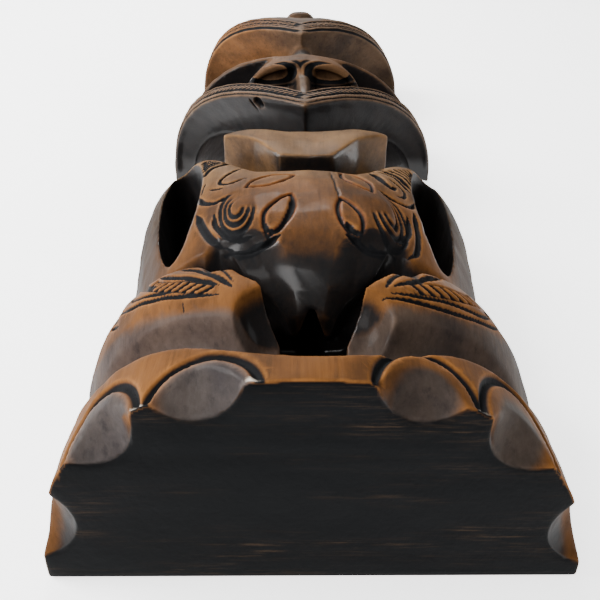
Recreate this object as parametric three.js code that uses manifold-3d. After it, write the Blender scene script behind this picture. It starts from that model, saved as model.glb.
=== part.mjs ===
// A small tekoteko, a carved wooden figure, cut from one half-round billet and lying on its flat back.
// The flat sawn end under the feet faces -Y, the crown is at +Y, and the front of the figure is +Z.
// Millimetres, +Z up. The stations below count from the foot end.
import * as THREE from "three";
import { mergeVertices } from "three/addons/utils/BufferGeometryUtils.js";
import Module from "manifold-3d";

const wasm = await Module();
wasm.setup();

// The billet: width, height at the middle, and the powers of the superellipse that its round follows on
// the left and on the right, where more wood is taken off.
const BILLET_WIDTH = 110;
const BILLET_HEIGHT = 52;
const LEFT_POWER = 2.4;
const RIGHT_POWER = 2.08;
const HALF = BILLET_WIDTH / 2;
const ROUND_STEPS = 40;
const WELD = 0.02;
// Spare wood under the back, which the last cut takes off flat.
const SPARE = 4;

// Feet: the rim that the toes are scooped into, and the cove behind it.
const RIM_MIDDLE = 8;
const RIM_SIDE = 18;
const COVE_WIDTH = 13;
const COVE_SINK = 0.17;
const TOE_RADIUS = 11;
const TOE_DEPTH = 5;
const TOE_ANGLES = [19, 44, 76];

// Knees: the band that crosses each leg, and the narrowing of the legs.
const KNEE_LENGTH = 20;
const KNEE_INNER = 7.2;
const LEG_NARROWING = 0.995;

// Crotch recess between the legs.
const CROTCH_FLOOR = 19;
const CROTCH_END = 66;

// Belly, with its steep underside and split point.
const BELLY_FACE = 47;
const BELLY_WIDTH = 42;
const BELLY_TOP = 52;
const BELLY_TIP = 26;
const BELLY_SPLIT = 36;

// Torso and arms.
const TORSO_START = 58;
const SHOULDER_END = 107;
const SHOULDER_RISE = 24;
const TORSO_SCALE = 0.97;
const ELBOW_GAP_MIDDLE = 94.5;
const ELBOW_GAP_REACH = 30;
const ELBOW_GAP_FLOOR = 14;

// Chin.
const CHIN_FRONT = 111;
const CHIN_REAR = 137;
const CHIN_WIDTH = 54;
const CHIN_TOP = 49.5;
const CHIN_HUMP = 1.1;
const CHIN_FALL = 3.2;
const CORE_DEPTH = 5;

// Upper lip, a shelf with a prow in the middle.
const LIP_PROW = 148.5;
const LIP_SCALE = 1;
const LIP_SLOPE = 0.75;
const LIP_CURVE = 0.004;
const LIP_BAND = 15;
const PHILTRUM_TOP = 46;

// Nose, cheeks and the face behind them.
const FACE_SCALE = 0.6;
const NOSE_FRONT = 209;
const NOSE_WIDTH = 51;
const NOSE_TOP = 50;
const NOSE_WALL = 3;
const CHEEK_FRONT = 217;
const CHEEK_SCALE = 0.95;
const NOSE_FOOT = 18;
const PILLAR_TOP = 5.6;
const PILLAR_FOOT = 2.6;
const EYE_SPACING = 23;
const EYE_WIDTH = 18;
const EYE_LENGTH = 14;
const EYE_DEPTH = 15.8;
const EYE_HEIGHT = 36.7;

// Brow and crown.
const BROW_PROW = 257;
const BROW_SCALE = 0.96;
const BROW_SLOPE = 0.72;
const BROW_CURVE = 0.004;
const BROW_BAND = 25;
const CROWN_END = 330;
const KNOT_REACH = 12;
const LENGTH = CROWN_END + KNOT_REACH;
const KNOT_WIDTH = 23;
const KNOT_TOP = 44;
const KNOT_BASE = 8;

const smooth = (from, to, value) => {
  const t = Math.min(1, Math.max(0, (value - from) / (to - from)));
  return t * t * (3 - 2 * t);
};
const mix = (a, b, t) => a + (b - a) * t;

// A point of the round at an angle from the middle, -90 to 90 degrees, scaled about the back's centre line.
function roundPoint(angle, scaleX, scaleZ) {
  const s = Math.sin(angle);
  const c = Math.max(0, Math.cos(angle));
  const power = s < 0 ? LEFT_POWER : RIGHT_POWER;
  return [
    scaleX * HALF * Math.sign(s) * Math.abs(s) ** (2 / power),
    scaleZ * BILLET_HEIGHT * c ** (2 / power),
  ];
}

// A closed geometry from rings of equal length, joined ring to ring and closed at both ends by fans.
function loft(rings) {
  const count = rings[0].length;
  const position = [];
  const index = [];
  rings.forEach((ring) => ring.forEach((p) => position.push(...p)));
  for (let i = 0; i + 1 < rings.length; i++)
    for (let j = 0; j < count; j++) {
      const k = (j + 1) % count;
      const a = i * count;
      const b = a + count;
      index.push(a + j, a + k, b + k, a + j, b + k, b + j);
    }
  const ends = [[0, 1], [rings.length - 1, -1]];
  for (const [i, turn] of ends) {
    const centre = new THREE.Vector3();
    rings[i].forEach((p) => centre.add(new THREE.Vector3(...p)));
    centre.divideScalar(count);
    const c = position.length / 3;
    position.push(centre.x, centre.y, centre.z);
    for (let j = 0; j < count; j++) {
      const a = i * count + j;
      const b = i * count + ((j + 1) % count);
      if (turn > 0) index.push(c, b, a);
      else index.push(c, a, b);
    }
  }
  const geometry = new THREE.BufferGeometry();
  geometry.setAttribute("position", new THREE.Float32BufferAttribute(position, 3));
  geometry.setIndex(index);
  return geometry;
}

// A geometry as a solid, turned the right way round whichever way its rings ran.
function solid(geometry) {
  const source = geometry.index ? geometry.toNonIndexed() : geometry.clone();
  const bare = new THREE.BufferGeometry().setAttribute("position", source.getAttribute("position"));
  const merged = mergeVertices(bare, 1e-4);
  const build = (triVerts) =>
    new wasm.Manifold(
      new wasm.Mesh({ numProp: 3, vertProperties: merged.attributes.position.array, triVerts }),
    );
  const triVerts = new Uint32Array(merged.index.array);
  const made = build(triVerts);
  if (made.volume() > 0) return made;
  for (let i = 0; i < triVerts.length; i += 3)
    [triVerts[i + 1], triVerts[i + 2]] = [triVerts[i + 2], triVerts[i + 1]];
  return build(triVerts);
}

// A mass with the billet's round outside and a flat back. Each station gives its scale and its y, both as
// a number or as a function of the distance from the middle line.
function mass(stations, steps = ROUND_STEPS) {
  return solid(
    loft(
      stations.map(({ y, k, kx = k }) => {
        const ring = [];
        for (let j = 0; j <= steps; j++) {
          const angle = (j / steps - 0.5) * Math.PI;
          const side = Math.abs(roundPoint(angle, 1, 1)[0]);
          const scale = typeof k === "function" ? k(side) : k;
          const scaleX = typeof kx === "function" ? kx(side) : kx;
          const [x, z] = roundPoint(angle, scaleX, scale);
          ring.push([x, typeof y === "function" ? y(side) : y, z]);
        }
        const [first, last] = [ring[0], ring[steps]];
        ring.push([last[0], last[1], -SPARE], [first[0], first[1], -SPARE]);
        return ring;
      }),
    ),
  );
}

// A solid through rings given as [x, z] outlines at stations along y.
function alongY(sections) {
  return solid(loft(sections.map(({ y, outline }) => outline.map(([x, z]) => [x, y, z]))));
}

const mirrored = (shape) => shape.add(shape.mirror([1, 0, 0]));

// The edges that cross the figure, as y at a distance from the middle line.
const rimRear = (x) => mix(RIM_MIDDLE, RIM_SIDE, smooth(3, 38, x));
const kneeStart = (x) => rimRear(x) + COVE_WIDTH - 1 * smooth(20, 50, x);
const kneeEnd = (x) => kneeStart(x) + KNEE_LENGTH + 3 * smooth(20, 50, x);
const lipEdge = (x) => LIP_PROW + LIP_SLOPE * x + LIP_CURVE * x * x;
const browEdge = (x) => BROW_PROW + BROW_SLOPE * x + BROW_CURVE * x * x;

function legsAndFeet() {
  const narrow = (k) => k * LEG_NARROWING;
  const legs = mass([
    { y: 0, k: 1 },
    { y: rimRear, k: 1, kx: 0.995 },
    { y: (x) => rimRear(x) + 3, k: 1 - COVE_SINK * 0.8, kx: 1 - COVE_SINK * 0.25 },
    { y: (x) => rimRear(x) + 8, k: 1 - COVE_SINK, kx: 1 - COVE_SINK * 0.32 },
    { y: (x) => kneeStart(x) - 1.5, k: 1 - COVE_SINK * 0.65, kx: 1 - COVE_SINK * 0.2 },
    { y: kneeStart, k: 0.96, kx: narrow(0.96) },
    { y: (x) => mix(kneeStart(x), kneeEnd(x), 0.3), k: 0.99, kx: narrow(0.99) },
    { y: (x) => mix(kneeStart(x), kneeEnd(x), 0.62), k: 1, kx: narrow(1) },
    { y: kneeEnd, k: 0.972, kx: narrow(0.985) },
    { y: (x) => kneeEnd(x) + 3, k: 0.88, kx: 0.955 },
    { y: (x) => kneeEnd(x) + 7, k: 0.78, kx: 0.9 },
    { y: (x) => kneeEnd(x) + 20, k: 0.76, kx: 0.85 },
  ]);
  return legs.subtract(crotch()).subtract(mirrored(innerShin()));
}

// The trough between the legs, with sloping walls, open towards the belly.
function crotch() {
  const above = BILLET_HEIGHT + 10;
  const section = (along, top, bottom, floor) => ({
    y: RIM_MIDDLE + along,
    outline: [[-top, above], [-top, floor + 12], [-bottom, floor], [bottom, floor], [top, floor + 12], [top, above]],
  });
  return alongY([
    section(0, 4.6, 3, CROTCH_FLOOR + 14),
    section(5, 5.8, 4, CROTCH_FLOOR + 3),
    section(18, KNEE_INNER - 0.5, 5, CROTCH_FLOOR),
    section(26, KNEE_INNER + 4, 6.5, CROTCH_FLOOR),
    section(37, KNEE_INNER + 11.5, 8, CROTCH_FLOOR),
    section(CROTCH_END + 4, KNEE_INNER + 14.5, 8, CROTCH_FLOOR),
  ]);
}

// The facet that bevels the inner front corner of each shin.
function innerShin() {
  const cut = new THREE.SphereGeometry(1, 24, 16);
  cut.scale(8.5, 12.5, 17);
  cut.rotateZ(0.36);
  cut.translate(-KNEE_INNER - 1, RIM_MIDDLE + 13, BILLET_HEIGHT + 4.5);
  return solid(cut);
}

// One toe: the scoop that a gouge leaves when it runs over the corner of the foot end.
function toeScoop(angle) {
  const [x, z] = roundPoint(angle, 1, 1);
  const [x2, z2] = roundPoint(angle + 0.01, 1, 1);
  const tangent = new THREE.Vector3(x2 - x, 0, z2 - z).normalize();
  const outward = new THREE.Vector3(-tangent.z, 0, tangent.x).multiplyScalar(tangent.x > 0 ? 1 : -1);
  if (outward.z < 0) outward.negate();
  const foot = new THREE.Vector3(0, -1, 0);
  const away = outward.clone().add(foot).normalize();
  const along = outward.clone().sub(foot).normalize();
  const side = new THREE.Vector3().crossVectors(along, away);
  const gouge = new THREE.CylinderGeometry(TOE_RADIUS, TOE_RADIUS, 60, 36, 1);
  const place = new THREE.Matrix4().makeBasis(side, along, away);
  const at = new THREE.Vector3(x, 0, z).addScaledVector(away, TOE_RADIUS - TOE_DEPTH);
  gouge.applyMatrix4(place.setPosition(at));
  return solid(gouge);
}

// The belly: full above, with a wide steep underside drawn down to a point between the thighs.
function belly() {
  const half = BELLY_WIDTH / 2;
  const section = (along, width, top, waist, tip) => {
    const outline = [];
    const steps = 12;
    for (let i = 0; i <= steps; i++) {
      const a = (i / steps) * Math.PI;
      const c = Math.cos(a);
      const x = half * width * Math.sign(c) * Math.abs(c) ** 0.8;
      outline.push([x, waist + (top - waist) * Math.sin(a) ** 0.8]);
    }
    const blunt = half * 0.24;
    const bulge = mix(half * width, blunt, 0.45);
    outline.push([-bulge, mix(waist, tip, 0.5)], [-blunt, tip], [blunt, tip], [bulge, mix(waist, tip, 0.5)]);
    return { y: BELLY_FACE + along, outline };
  };
  return alongY([
    section(0, 0.3, BELLY_TOP - 18.5, BELLY_TOP - 20.5, BELLY_TIP + 1.5),
    section(3, 0.53, BELLY_TOP - 13, BELLY_TOP - 15.5, BELLY_TIP - 1),
    section(6.5, 0.82, BELLY_TOP - 8.4, BELLY_TOP - 12, BELLY_TIP - 4),
    section(10.5, 0.95, BELLY_TOP - 5, BELLY_TOP - 8.8, BELLY_TIP - 8),
    section(15, 1.01, BELLY_TOP - 2.6, BELLY_TOP - 7.2, 10),
    section(21, 1.03, BELLY_TOP - 0.9, BELLY_TOP - 6, 4),
    section(30, 1.1, BELLY_TOP, BELLY_TOP - 7, 2),
    section(42, 1.1, BELLY_TOP - 1, BELLY_TOP - 12, 2),
    section(56, 1.0, BELLY_TOP - 5, BELLY_TOP - 18, 2),
    section(68, 0.86, BELLY_TOP - 13, BELLY_TOP - 24, 2),
  ]);
}

// The wedge that splits the belly's point.
function bellySplit() {
  const wedge = (y, half, top) => ({ y, outline: [[-half, 6], [-half, BELLY_TIP], [0.3, top], [half, BELLY_TIP], [half, 6]] });
  return alongY([
    wedge(BELLY_FACE - 6, 3.6, BELLY_SPLIT + 1),
    wedge(BELLY_FACE + 3, 3.4, BELLY_SPLIT),
    wedge(BELLY_FACE + 10, 1.6, BELLY_TIP + 2),
  ]);
}

function torso() {
  const k = TORSO_SCALE;
  const shoulder = (along) => (x) => SHOULDER_END + along + SHOULDER_RISE * smooth(12, 36, x);
  const body = mass([
    { y: TORSO_START - 5, k: 0.5 },
    { y: TORSO_START - 1, k: k - 0.16 },
    { y: TORSO_START + 2, k: k - 0.04, kx: k - 0.09 },
    { y: TORSO_START + 9, k: k - 0.01, kx: k - 0.08 },
    { y: TORSO_START + 22, k: k + 0.01, kx: k - 0.05 },
    { y: shoulder(-20), k: k + 0.01 },
    { y: shoulder(-9), k: k - 0.02, kx: k + 0.02 },
    { y: shoulder(-2), k: k - 0.09, kx: k - 0.03 },
    { y: shoulder(4), k: k - 0.2 },
    { y: shoulder(10), k: k - 0.34 },
  ]);
  return body.subtract(mirrored(elbowGap()));
}

// The hollow between upper arm and hand, narrowing downwards.
function elbowGap() {
  const ring = (z, grow, shiftX) => {
    const points = [];
    const steps = 26;
    for (let i = 0; i < steps; i++) {
      const a = (i / steps) * 2 * Math.PI;
      const along = Math.cos(a);
      const width = (6 + grow) * (1 + 0.25 * along);
      const x = -36.5 - 2.2 * along + shiftX + width * Math.sin(a);
      points.push([x, ELBOW_GAP_MIDDLE + (ELBOW_GAP_REACH + grow) * along, z]);
    }
    return points;
  };
  return solid(
    loft([
      ring(ELBOW_GAP_FLOOR, -4.2, 1.5),
      ring(ELBOW_GAP_FLOOR + 6, -2, 1.2),
      ring(30, -0.4, 0.6),
      ring(40, 0.8, -0.6),
      ring(60, 3.4, -3),
    ]),
  );
}

// The chin bar under the mouth, with its front cut in facets.
function chin() {
  const h = CHIN_WIDTH / 2;
  const outline = [
    [-h, CHIN_REAR + 8],
    [-h, CHIN_FRONT + 25],
    [-h * 0.6, CHIN_FRONT + 13],
    [-8.5, CHIN_FRONT],
    [8, CHIN_FRONT],
    [h * 0.6, CHIN_FRONT + 13],
    [h, CHIN_FRONT + 25],
    [h, CHIN_REAR + 8],
  ];
  const plan = new THREE.Shape(outline.map(([x, y]) => new THREE.Vector2(x, y)));
  const bar = solid(new THREE.ExtrudeGeometry(plan, { depth: 60, bevelEnabled: false }));
  const saddle = (y, drop) => {
    const ring = [];
    const steps = 12;
    for (let i = 0; i <= steps; i++) {
      const x = mix(-h - 1, h + 1, i / steps);
      const hump = CHIN_HUMP * Math.cos((x / h) * Math.PI * 1.1);
      ring.push([x, y, CHIN_TOP - hump - CHIN_FALL * (Math.abs(x) / h) ** 3 - drop]);
    }
    ring.push([h + 1, y, CORE_DEPTH], [-h - 1, y, CORE_DEPTH]);
    return ring;
  };
  const top = solid(loft([saddle(CHIN_FRONT - SPARE, 0), saddle(CHIN_FRONT + 12, 0), saddle(CHIN_REAR, 2), saddle(CHIN_REAR + 10, 7)]));
  return bar.intersect(top);
}

// The core behind the mouth, which carries the head.
function neck() {
  return mass([
    { y: CHIN_FRONT - 12, k: 0.5, kx: 0.7 },
    { y: CHIN_FRONT - 6, k: 0.6, kx: 0.8 },
    { y: CHIN_REAR, k: 0.62, kx: 0.82 },
    { y: LIP_PROW + 60, k: 0.62, kx: 0.84 },
  ]);
}

function upperLip() {
  const k = LIP_SCALE;
  return mass([
    { y: LIP_PROW + 78, k: 0.4 },
    { y: (x) => lipEdge(x) + 6, k: 0.5, kx: 0.62 },
    { y: (x) => lipEdge(x) + 2, k: k - 0.09, kx: k - 0.05 },
    { y: (x) => lipEdge(x) + 0.5, k: k - 0.045, kx: k - 0.03 },
    { y: lipEdge, k: k - 0.02 },
    { y: (x) => lipEdge(x) + 3, k },
    { y: (x) => lipEdge(x) + LIP_BAND, k: k - 0.005 },
    { y: (x) => lipEdge(x) + LIP_BAND + 4, k: k - 0.1 },
    { y: (x) => lipEdge(x) + LIP_BAND + 10, k: k - 0.22 },
    { y: LIP_PROW + 90, k: 0.45 },
  ]);
}

// The ridge that joins the lip's prow to the nose.
function philtrum() {
  const section = (y, half, top) => ({
    y,
    outline: [[-half - 3, 15], [-half, top - 3], [-half * 0.5, top], [half * 0.5, top], [half, top - 3], [half + 3, 15]],
  });
  return alongY([
    section(LIP_PROW + 8, 2.2, PHILTRUM_TOP),
    section(LIP_PROW + 26, 2.6, PHILTRUM_TOP - 0.5),
    section(NOSE_FRONT - 6, 3.4, PHILTRUM_TOP - 1),
    section(NOSE_FRONT + 6, 5.5, NOSE_TOP - 1),
  ]);
}

// The face between lip and brow, with the step of the cheeks.
function face() {
  const base = mass([
    { y: LIP_PROW + 40, k: FACE_SCALE - 0.05, kx: 0.82 },
    { y: CHEEK_FRONT, k: FACE_SCALE, kx: 0.83 },
    { y: CROWN_END - 12, k: FACE_SCALE, kx: 0.8 },
  ]);
  const step = (along) => (x) => CHEEK_FRONT + along + 0.12 * x;
  const cheeks = mass([
    { y: CHEEK_FRONT + 7.3, k: 0.28 },
    { y: step(2.2), k: 0.54, kx: 0.7 },
    { y: step(0.6), k: CHEEK_SCALE - 0.04 },
    { y: step(0), k: CHEEK_SCALE - 0.02 },
    { y: step(2.5), k: CHEEK_SCALE },
    { y: step(6), k: CHEEK_SCALE - 0.04 },
    { y: step(16), k: CHEEK_SCALE - 0.22 },
    { y: step(26), k: 0.5 },
  ]);
  return base.add(cheeks);
}

// The nose, a dome with two hollows at the front that each hold an oval boss.
function nose() {
  const arch = (y, half, top, foot = NOSE_FOOT) => {
    const outline = [];
    const steps = 18;
    for (let i = 0; i <= steps; i++) {
      const a = (i / steps) * Math.PI;
      const c = Math.cos(a);
      outline.push([half * Math.sign(c) * Math.abs(c) ** 0.8, foot + 10 + (top - foot - 10) * Math.sin(a) ** 0.8]);
    }
    outline.push([-half, foot], [half, foot]);
    return { y, outline };
  };
  const half = NOSE_WIDTH / 2;
  const dome = alongY([
    arch(NOSE_FRONT, half - 0.8, NOSE_TOP - 0.8),
    arch(NOSE_FRONT + 1.5, half, NOSE_TOP),
    arch(NOSE_FRONT + 9, half * 0.9, NOSE_TOP),
    arch(NOSE_FRONT + 22, half * 0.5, NOSE_TOP - 3),
    arch(NOSE_FRONT + 36, half * 0.26, NOSE_TOP - 6),
    arch(BROW_PROW + 10, half * 0.24, NOSE_TOP - 8),
  ]);
  const socket = alongY([
    arch(NOSE_FRONT - 4, half - NOSE_WALL, NOSE_TOP - NOSE_WALL, NOSE_FOOT + 4),
    arch(NOSE_FRONT + 6, half - NOSE_WALL - 1.5, NOSE_TOP - NOSE_WALL - 1.5, NOSE_FOOT + 4),
  ]);
  const pillar = new THREE.CylinderGeometry(PILLAR_TOP, PILLAR_FOOT, NOSE_TOP - NOSE_FOOT + 2, 12, 1);
  pillar.rotateX(Math.PI / 2).scale(1, 1.6, 1).rotateX(Math.PI / 2).translate(0, NOSE_FRONT + 6, 32);
  const boss = new THREE.SphereGeometry(0.5, 22, 16).scale(EYE_WIDTH, EYE_LENGTH, EYE_DEPTH);
  boss.translate(-EYE_SPACING / 2, NOSE_FRONT + 7.4, EYE_HEIGHT);
  return dome.subtract(socket).add(solid(pillar).intersect(dome)).add(mirrored(solid(boss)));
}

function browAndCrown() {
  const k = BROW_SCALE;
  const behind = (along) => (x) => browEdge(x) + along;
  const crown = (along, share) => (x) => mix(browEdge(x) + BROW_BAND, CROWN_END, share) + along;
  return mass([
    { y: CROWN_END - 6, k: 0.25 },
    { y: behind(6), k: 0.3, kx: 0.45 },
    { y: behind(3), k: k - 0.2, kx: k - 0.12 },
    { y: behind(0.8), k: k - 0.04, kx: k - 0.03 },
    { y: browEdge, k: k - 0.02 },
    { y: behind(2.5), k },
    { y: crown(0, 0), k: k - 0.01 },
    { y: crown(0, 0.4), k: k - 0.06 },
    { y: crown(0, 0.8), k: k - 0.18 },
    { y: crown(0, 0.95), k: k - 0.34 },
    { y: CROWN_END, k: 0.4 },
  ]);
}

// The topknot, a low round cap on a short neck.
function topknot() {
  const section = (y, half, top) => {
    const outline = [];
    const steps = 14;
    for (let i = 0; i <= steps; i++) {
      const a = (i / steps) * Math.PI;
      const c = Math.cos(a);
      outline.push([half * Math.sign(c) * Math.abs(c) ** 0.7, mix(KNOT_BASE, top, Math.sin(a) ** 0.45)]);
    }
    return { y, outline };
  };
  const half = KNOT_WIDTH / 2;
  return alongY([
    section(CROWN_END - 22, half * 0.9, KNOT_TOP - 6),
    section(CROWN_END - 8, half * 0.9, KNOT_TOP - 3.5),
    section(CROWN_END - 6, half * 0.84, KNOT_TOP - 3),
    section(CROWN_END - 3, half, KNOT_TOP),
    section(CROWN_END + KNOT_REACH * 0.55, half * 0.94, KNOT_TOP - 1),
    section(CROWN_END + KNOT_REACH * 0.9, half * 0.66, KNOT_TOP - 7),
    section(CROWN_END + KNOT_REACH, half * 0.4, KNOT_TOP - 14),
  ]);
}

function carving() {
  let body = legsAndFeet().add(torso()).subtract(bellySplit());
  body = body.add(belly().subtract(bellySplit()));
  body = body.add(neck()).add(chin()).add(upperLip()).add(philtrum()).add(face());
  body = body.add(nose()).add(browAndCrown()).add(topknot());
  for (const degrees of TOE_ANGLES)
    for (const side of [-1, 1]) body = body.subtract(toeScoop((side * degrees * Math.PI) / 180));
  const waste = new THREE.BoxGeometry(BILLET_WIDTH * 2, CROWN_END * 3, SPARE * 2);
  body = body.subtract(solid(waste.translate(0, 0, -SPARE)));
  return body;
}

// A solid as a mesh's geometry. Corners closer than the weld distance become one, and what collapses goes.
function geometryOf(shape) {
  const { vertProperties, triVerts } = shape.getMesh();
  const loose = new THREE.BufferGeometry();
  loose.setAttribute("position", new THREE.BufferAttribute(new Float32Array(vertProperties), 3));
  loose.setIndex(new THREE.BufferAttribute(new Uint32Array(triVerts), 1));
  const welded = mergeVertices(loose, WELD);
  const corners = welded.index.array;
  const kept = [];
  for (let i = 0; i < corners.length; i += 3) {
    const [a, b, c] = corners.slice(i, i + 3);
    if (a !== b && b !== c && c !== a) kept.push(a, b, c);
  }
  welded.setIndex(kept);
  const geometry = welded.toNonIndexed();
  geometry.computeVertexNormals();
  return geometry;
}

const wood = new THREE.MeshStandardMaterial({ color: 0x7a4a26, roughness: 0.42, metalness: 0 });
const figure = new THREE.Mesh(geometryOf(carving()), wood);
figure.name = "tekoteko_carving";

// The origin goes to the middle of the flat back, halfway along the figure.
figure.position.y = -LENGTH / 2;

const group = new THREE.Group();
group.add(figure);
export default group;
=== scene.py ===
"""A small carved wooden tekoteko, lying on its flat back in a plain studio.

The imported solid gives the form. Here its skin is made fine, the knife work is cut into it, and the wood is
stained, worn and polished.
"""

import logging
import math
from dataclasses import dataclass, replace
from enum import Enum
from typing import Callable, Sequence

import bmesh
import bpy
import numpy as np
from mathutils import Matrix, Vector


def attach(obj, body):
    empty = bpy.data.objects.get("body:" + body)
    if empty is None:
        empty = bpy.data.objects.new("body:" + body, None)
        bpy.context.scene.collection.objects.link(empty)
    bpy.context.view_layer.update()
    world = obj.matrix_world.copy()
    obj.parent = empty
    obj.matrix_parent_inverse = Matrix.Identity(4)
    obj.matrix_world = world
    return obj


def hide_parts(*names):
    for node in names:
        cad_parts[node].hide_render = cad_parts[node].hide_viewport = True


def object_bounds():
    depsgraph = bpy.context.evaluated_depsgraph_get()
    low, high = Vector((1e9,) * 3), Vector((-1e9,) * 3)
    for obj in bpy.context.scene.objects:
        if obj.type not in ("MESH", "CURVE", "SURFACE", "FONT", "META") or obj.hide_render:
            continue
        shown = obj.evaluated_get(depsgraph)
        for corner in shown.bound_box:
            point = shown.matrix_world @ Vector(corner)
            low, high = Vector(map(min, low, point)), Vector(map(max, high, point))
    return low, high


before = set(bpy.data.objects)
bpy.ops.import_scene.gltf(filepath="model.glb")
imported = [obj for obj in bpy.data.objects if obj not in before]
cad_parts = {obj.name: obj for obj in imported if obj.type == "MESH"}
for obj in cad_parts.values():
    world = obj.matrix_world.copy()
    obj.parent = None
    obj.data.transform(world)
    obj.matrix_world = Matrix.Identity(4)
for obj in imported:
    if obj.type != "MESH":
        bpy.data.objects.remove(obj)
CAD_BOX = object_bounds()

LOG = logging.getLogger("tekoteko")
MILLIMETRE = 0.001
NODE = "tekoteko_carving"
Point = tuple[float, float]
Path = Sequence[Point]
Limits = Sequence[tuple[float, ...]]
Triple = tuple[float, float, float]
Colour = Triple
WAVES = ((1.0, 0.31, 1.0, 1.0), (-0.47, 0.62, 1.37, 2.1), (0.83, 1.21, 0.59, 3.7))


class Side(Enum):
    """The two halves of the figure, as the viewer at its feet sees them."""

    LEFT = -1
    RIGHT = 1


def ramp(low: float, high: float, value: np.ndarray) -> np.ndarray:
    """A smooth step from 0 at low to 1 at high, which may also run downwards.

    Args:
        low: Where the step starts.
        high: Where the step ends.
        value: What is measured.

    Returns:
        The step, from 0 to 1, for each value.
    """
    share = np.clip((value - low) / (high - low), 0, 1)
    return share * share * (3 - 2 * share)


def hump(middle: float, half: float, edge: float, value: np.ndarray) -> np.ndarray:
    """A flat-topped band of 1 around middle, half wide each way, that fades out over edge."""
    return ramp(half + edge, half, np.abs(value - middle))


def inside(limits: Limits, value: np.ndarray) -> np.ndarray:
    """How far values lie within a few limits.

    Args:
        limits: A pair is a smooth step, from 0 at its first number to 1 at its second. Three numbers are a
            band of 1: its middle, its half width and how far it fades out.
        value: What is measured.

    Returns:
        The product of the limits, from 0 to 1, for each value.
    """
    total = np.ones_like(value)
    for limit in limits:
        total = total * (ramp(*limit, value) if len(limit) == 2 else hump(*limit, value))
    return total


def raise_at(values: np.ndarray, index: np.ndarray, least: np.ndarray) -> None:
    """Raises the indexed values to at least the ones given."""
    values[index] = np.maximum(values[index], least)


def wander(a: np.ndarray, b: np.ndarray, size: float, seed: float) -> np.ndarray:
    """A slow irregular wave over two coordinates, from about -1 to 1, with features of a given size."""
    turn = 2 * math.pi / size
    waves = [np.sin(turn * (p * a + q * b) * pace + shift * seed) for p, q, pace, shift in WAVES]
    return sum(waves) / len(waves)


@dataclass(frozen=True)
class Billet:
    """The half-round billet that the figure is cut from, in millimetres, and how its skin unrolls."""

    width: float = 110
    height: float = 52
    left_power: float = 2.4
    right_power: float = 2.08
    table_steps: int = 600
    path_start: float = 0.4
    path_stops: int = 14

    def _unit(self, x: np.ndarray, z: np.ndarray) -> tuple[np.ndarray, np.ndarray, np.ndarray]:
        """Each point's sideways and upward share of the billet, and the power of its side."""
        return np.abs(x) / (self.width / 2), np.maximum(z, 0) / self.height, self._power(x)

    def _power(self, x: np.ndarray) -> np.ndarray:
        """The superellipse's power on the side that x is on."""
        return np.where(x < 0, self.left_power, self.right_power)

    def reach(self, x: np.ndarray, z: np.ndarray) -> np.ndarray:
        """How far out a point lies: 1 on the billet's round, less inside it."""
        a, b, power = self._unit(x, z)
        return (a**power + b**power) ** (1 / power)

    def across(self, x: np.ndarray, z: np.ndarray) -> np.ndarray:
        """The distance round the billet from its middle line, negative on the left.

        Args:
            x: Sideways places.
            z: Heights.

        Returns:
            The arc that each point has unrolled, in millimetres.
        """
        a, b, power = self._unit(x, z)
        angle = np.arctan2(a ** (power / 2), b ** (power / 2))
        result = np.empty_like(x)
        for side in Side:
            here = (x < 0) == (side is Side.LEFT)
            angles, arcs, _ = self._table(side)
            result[here] = side.value * np.interp(angle[here], angles, arcs)
        return result

    def _table(self, side: Side) -> tuple[np.ndarray, np.ndarray, np.ndarray]:
        """Angles, the arc up to each one, and its distance from the middle plane."""
        power = self.left_power if side is Side.LEFT else self.right_power
        angles = np.linspace(0, math.pi / 2, self.table_steps)
        x = self.width / 2 * np.sin(angles) ** (2 / power)
        z = self.height * np.clip(np.cos(angles), 0, 1) ** (2 / power)
        arcs = np.concatenate([[0], np.cumsum(np.hypot(np.diff(x), np.diff(z)))])
        return angles, arcs, x

    def edge_path(self, edge: Callable[[float], float], side: Side, offset: float, end: float) -> Path:
        """A line that follows an edge of the carving round the billet.

        Args:
            edge: Gives the edge's place along the figure at a distance from the middle plane.
            side: The half of the figure.
            offset: How far towards the head the line lies from the edge.
            end: The arc at which the line stops.

        Returns:
            Points of (arc, along), from the middle outwards.
        """
        _, arcs, x = self._table(side)
        stops = np.linspace(self.path_start, end, self.path_stops)
        return [(stop, edge(float(np.interp(stop, arcs, x))) + offset) for stop in stops]


@dataclass(frozen=True)
class Cut:
    """One stroke of the knife: points of (arc from the middle, place along), its width, depth and stain."""

    points: Path
    width: float = 1.5
    depth: float = 0.8
    shade: float = 0.9
    taper: float = 0.16


@dataclass(frozen=True)
class NotchRow:
    """A strip of slanting notches along a line, with dark ground between the lumps that are left.

    gap is how far the ground reaches into each lump, and shine how much the lumps are rubbed.
    """

    points: Path
    height: float
    pitch: float
    slant: float = 0.7
    depth: float = 0.9
    gap: float = 0.1
    shine: float = 0.3


@dataclass(frozen=True)
class Oval:
    """A turned oval: its middle, half lengths and turn in degrees. A leaf is one with two pointed ends."""

    middle: Point
    half: Point
    turn: float = 0.0
    leaf: bool = False


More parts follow.
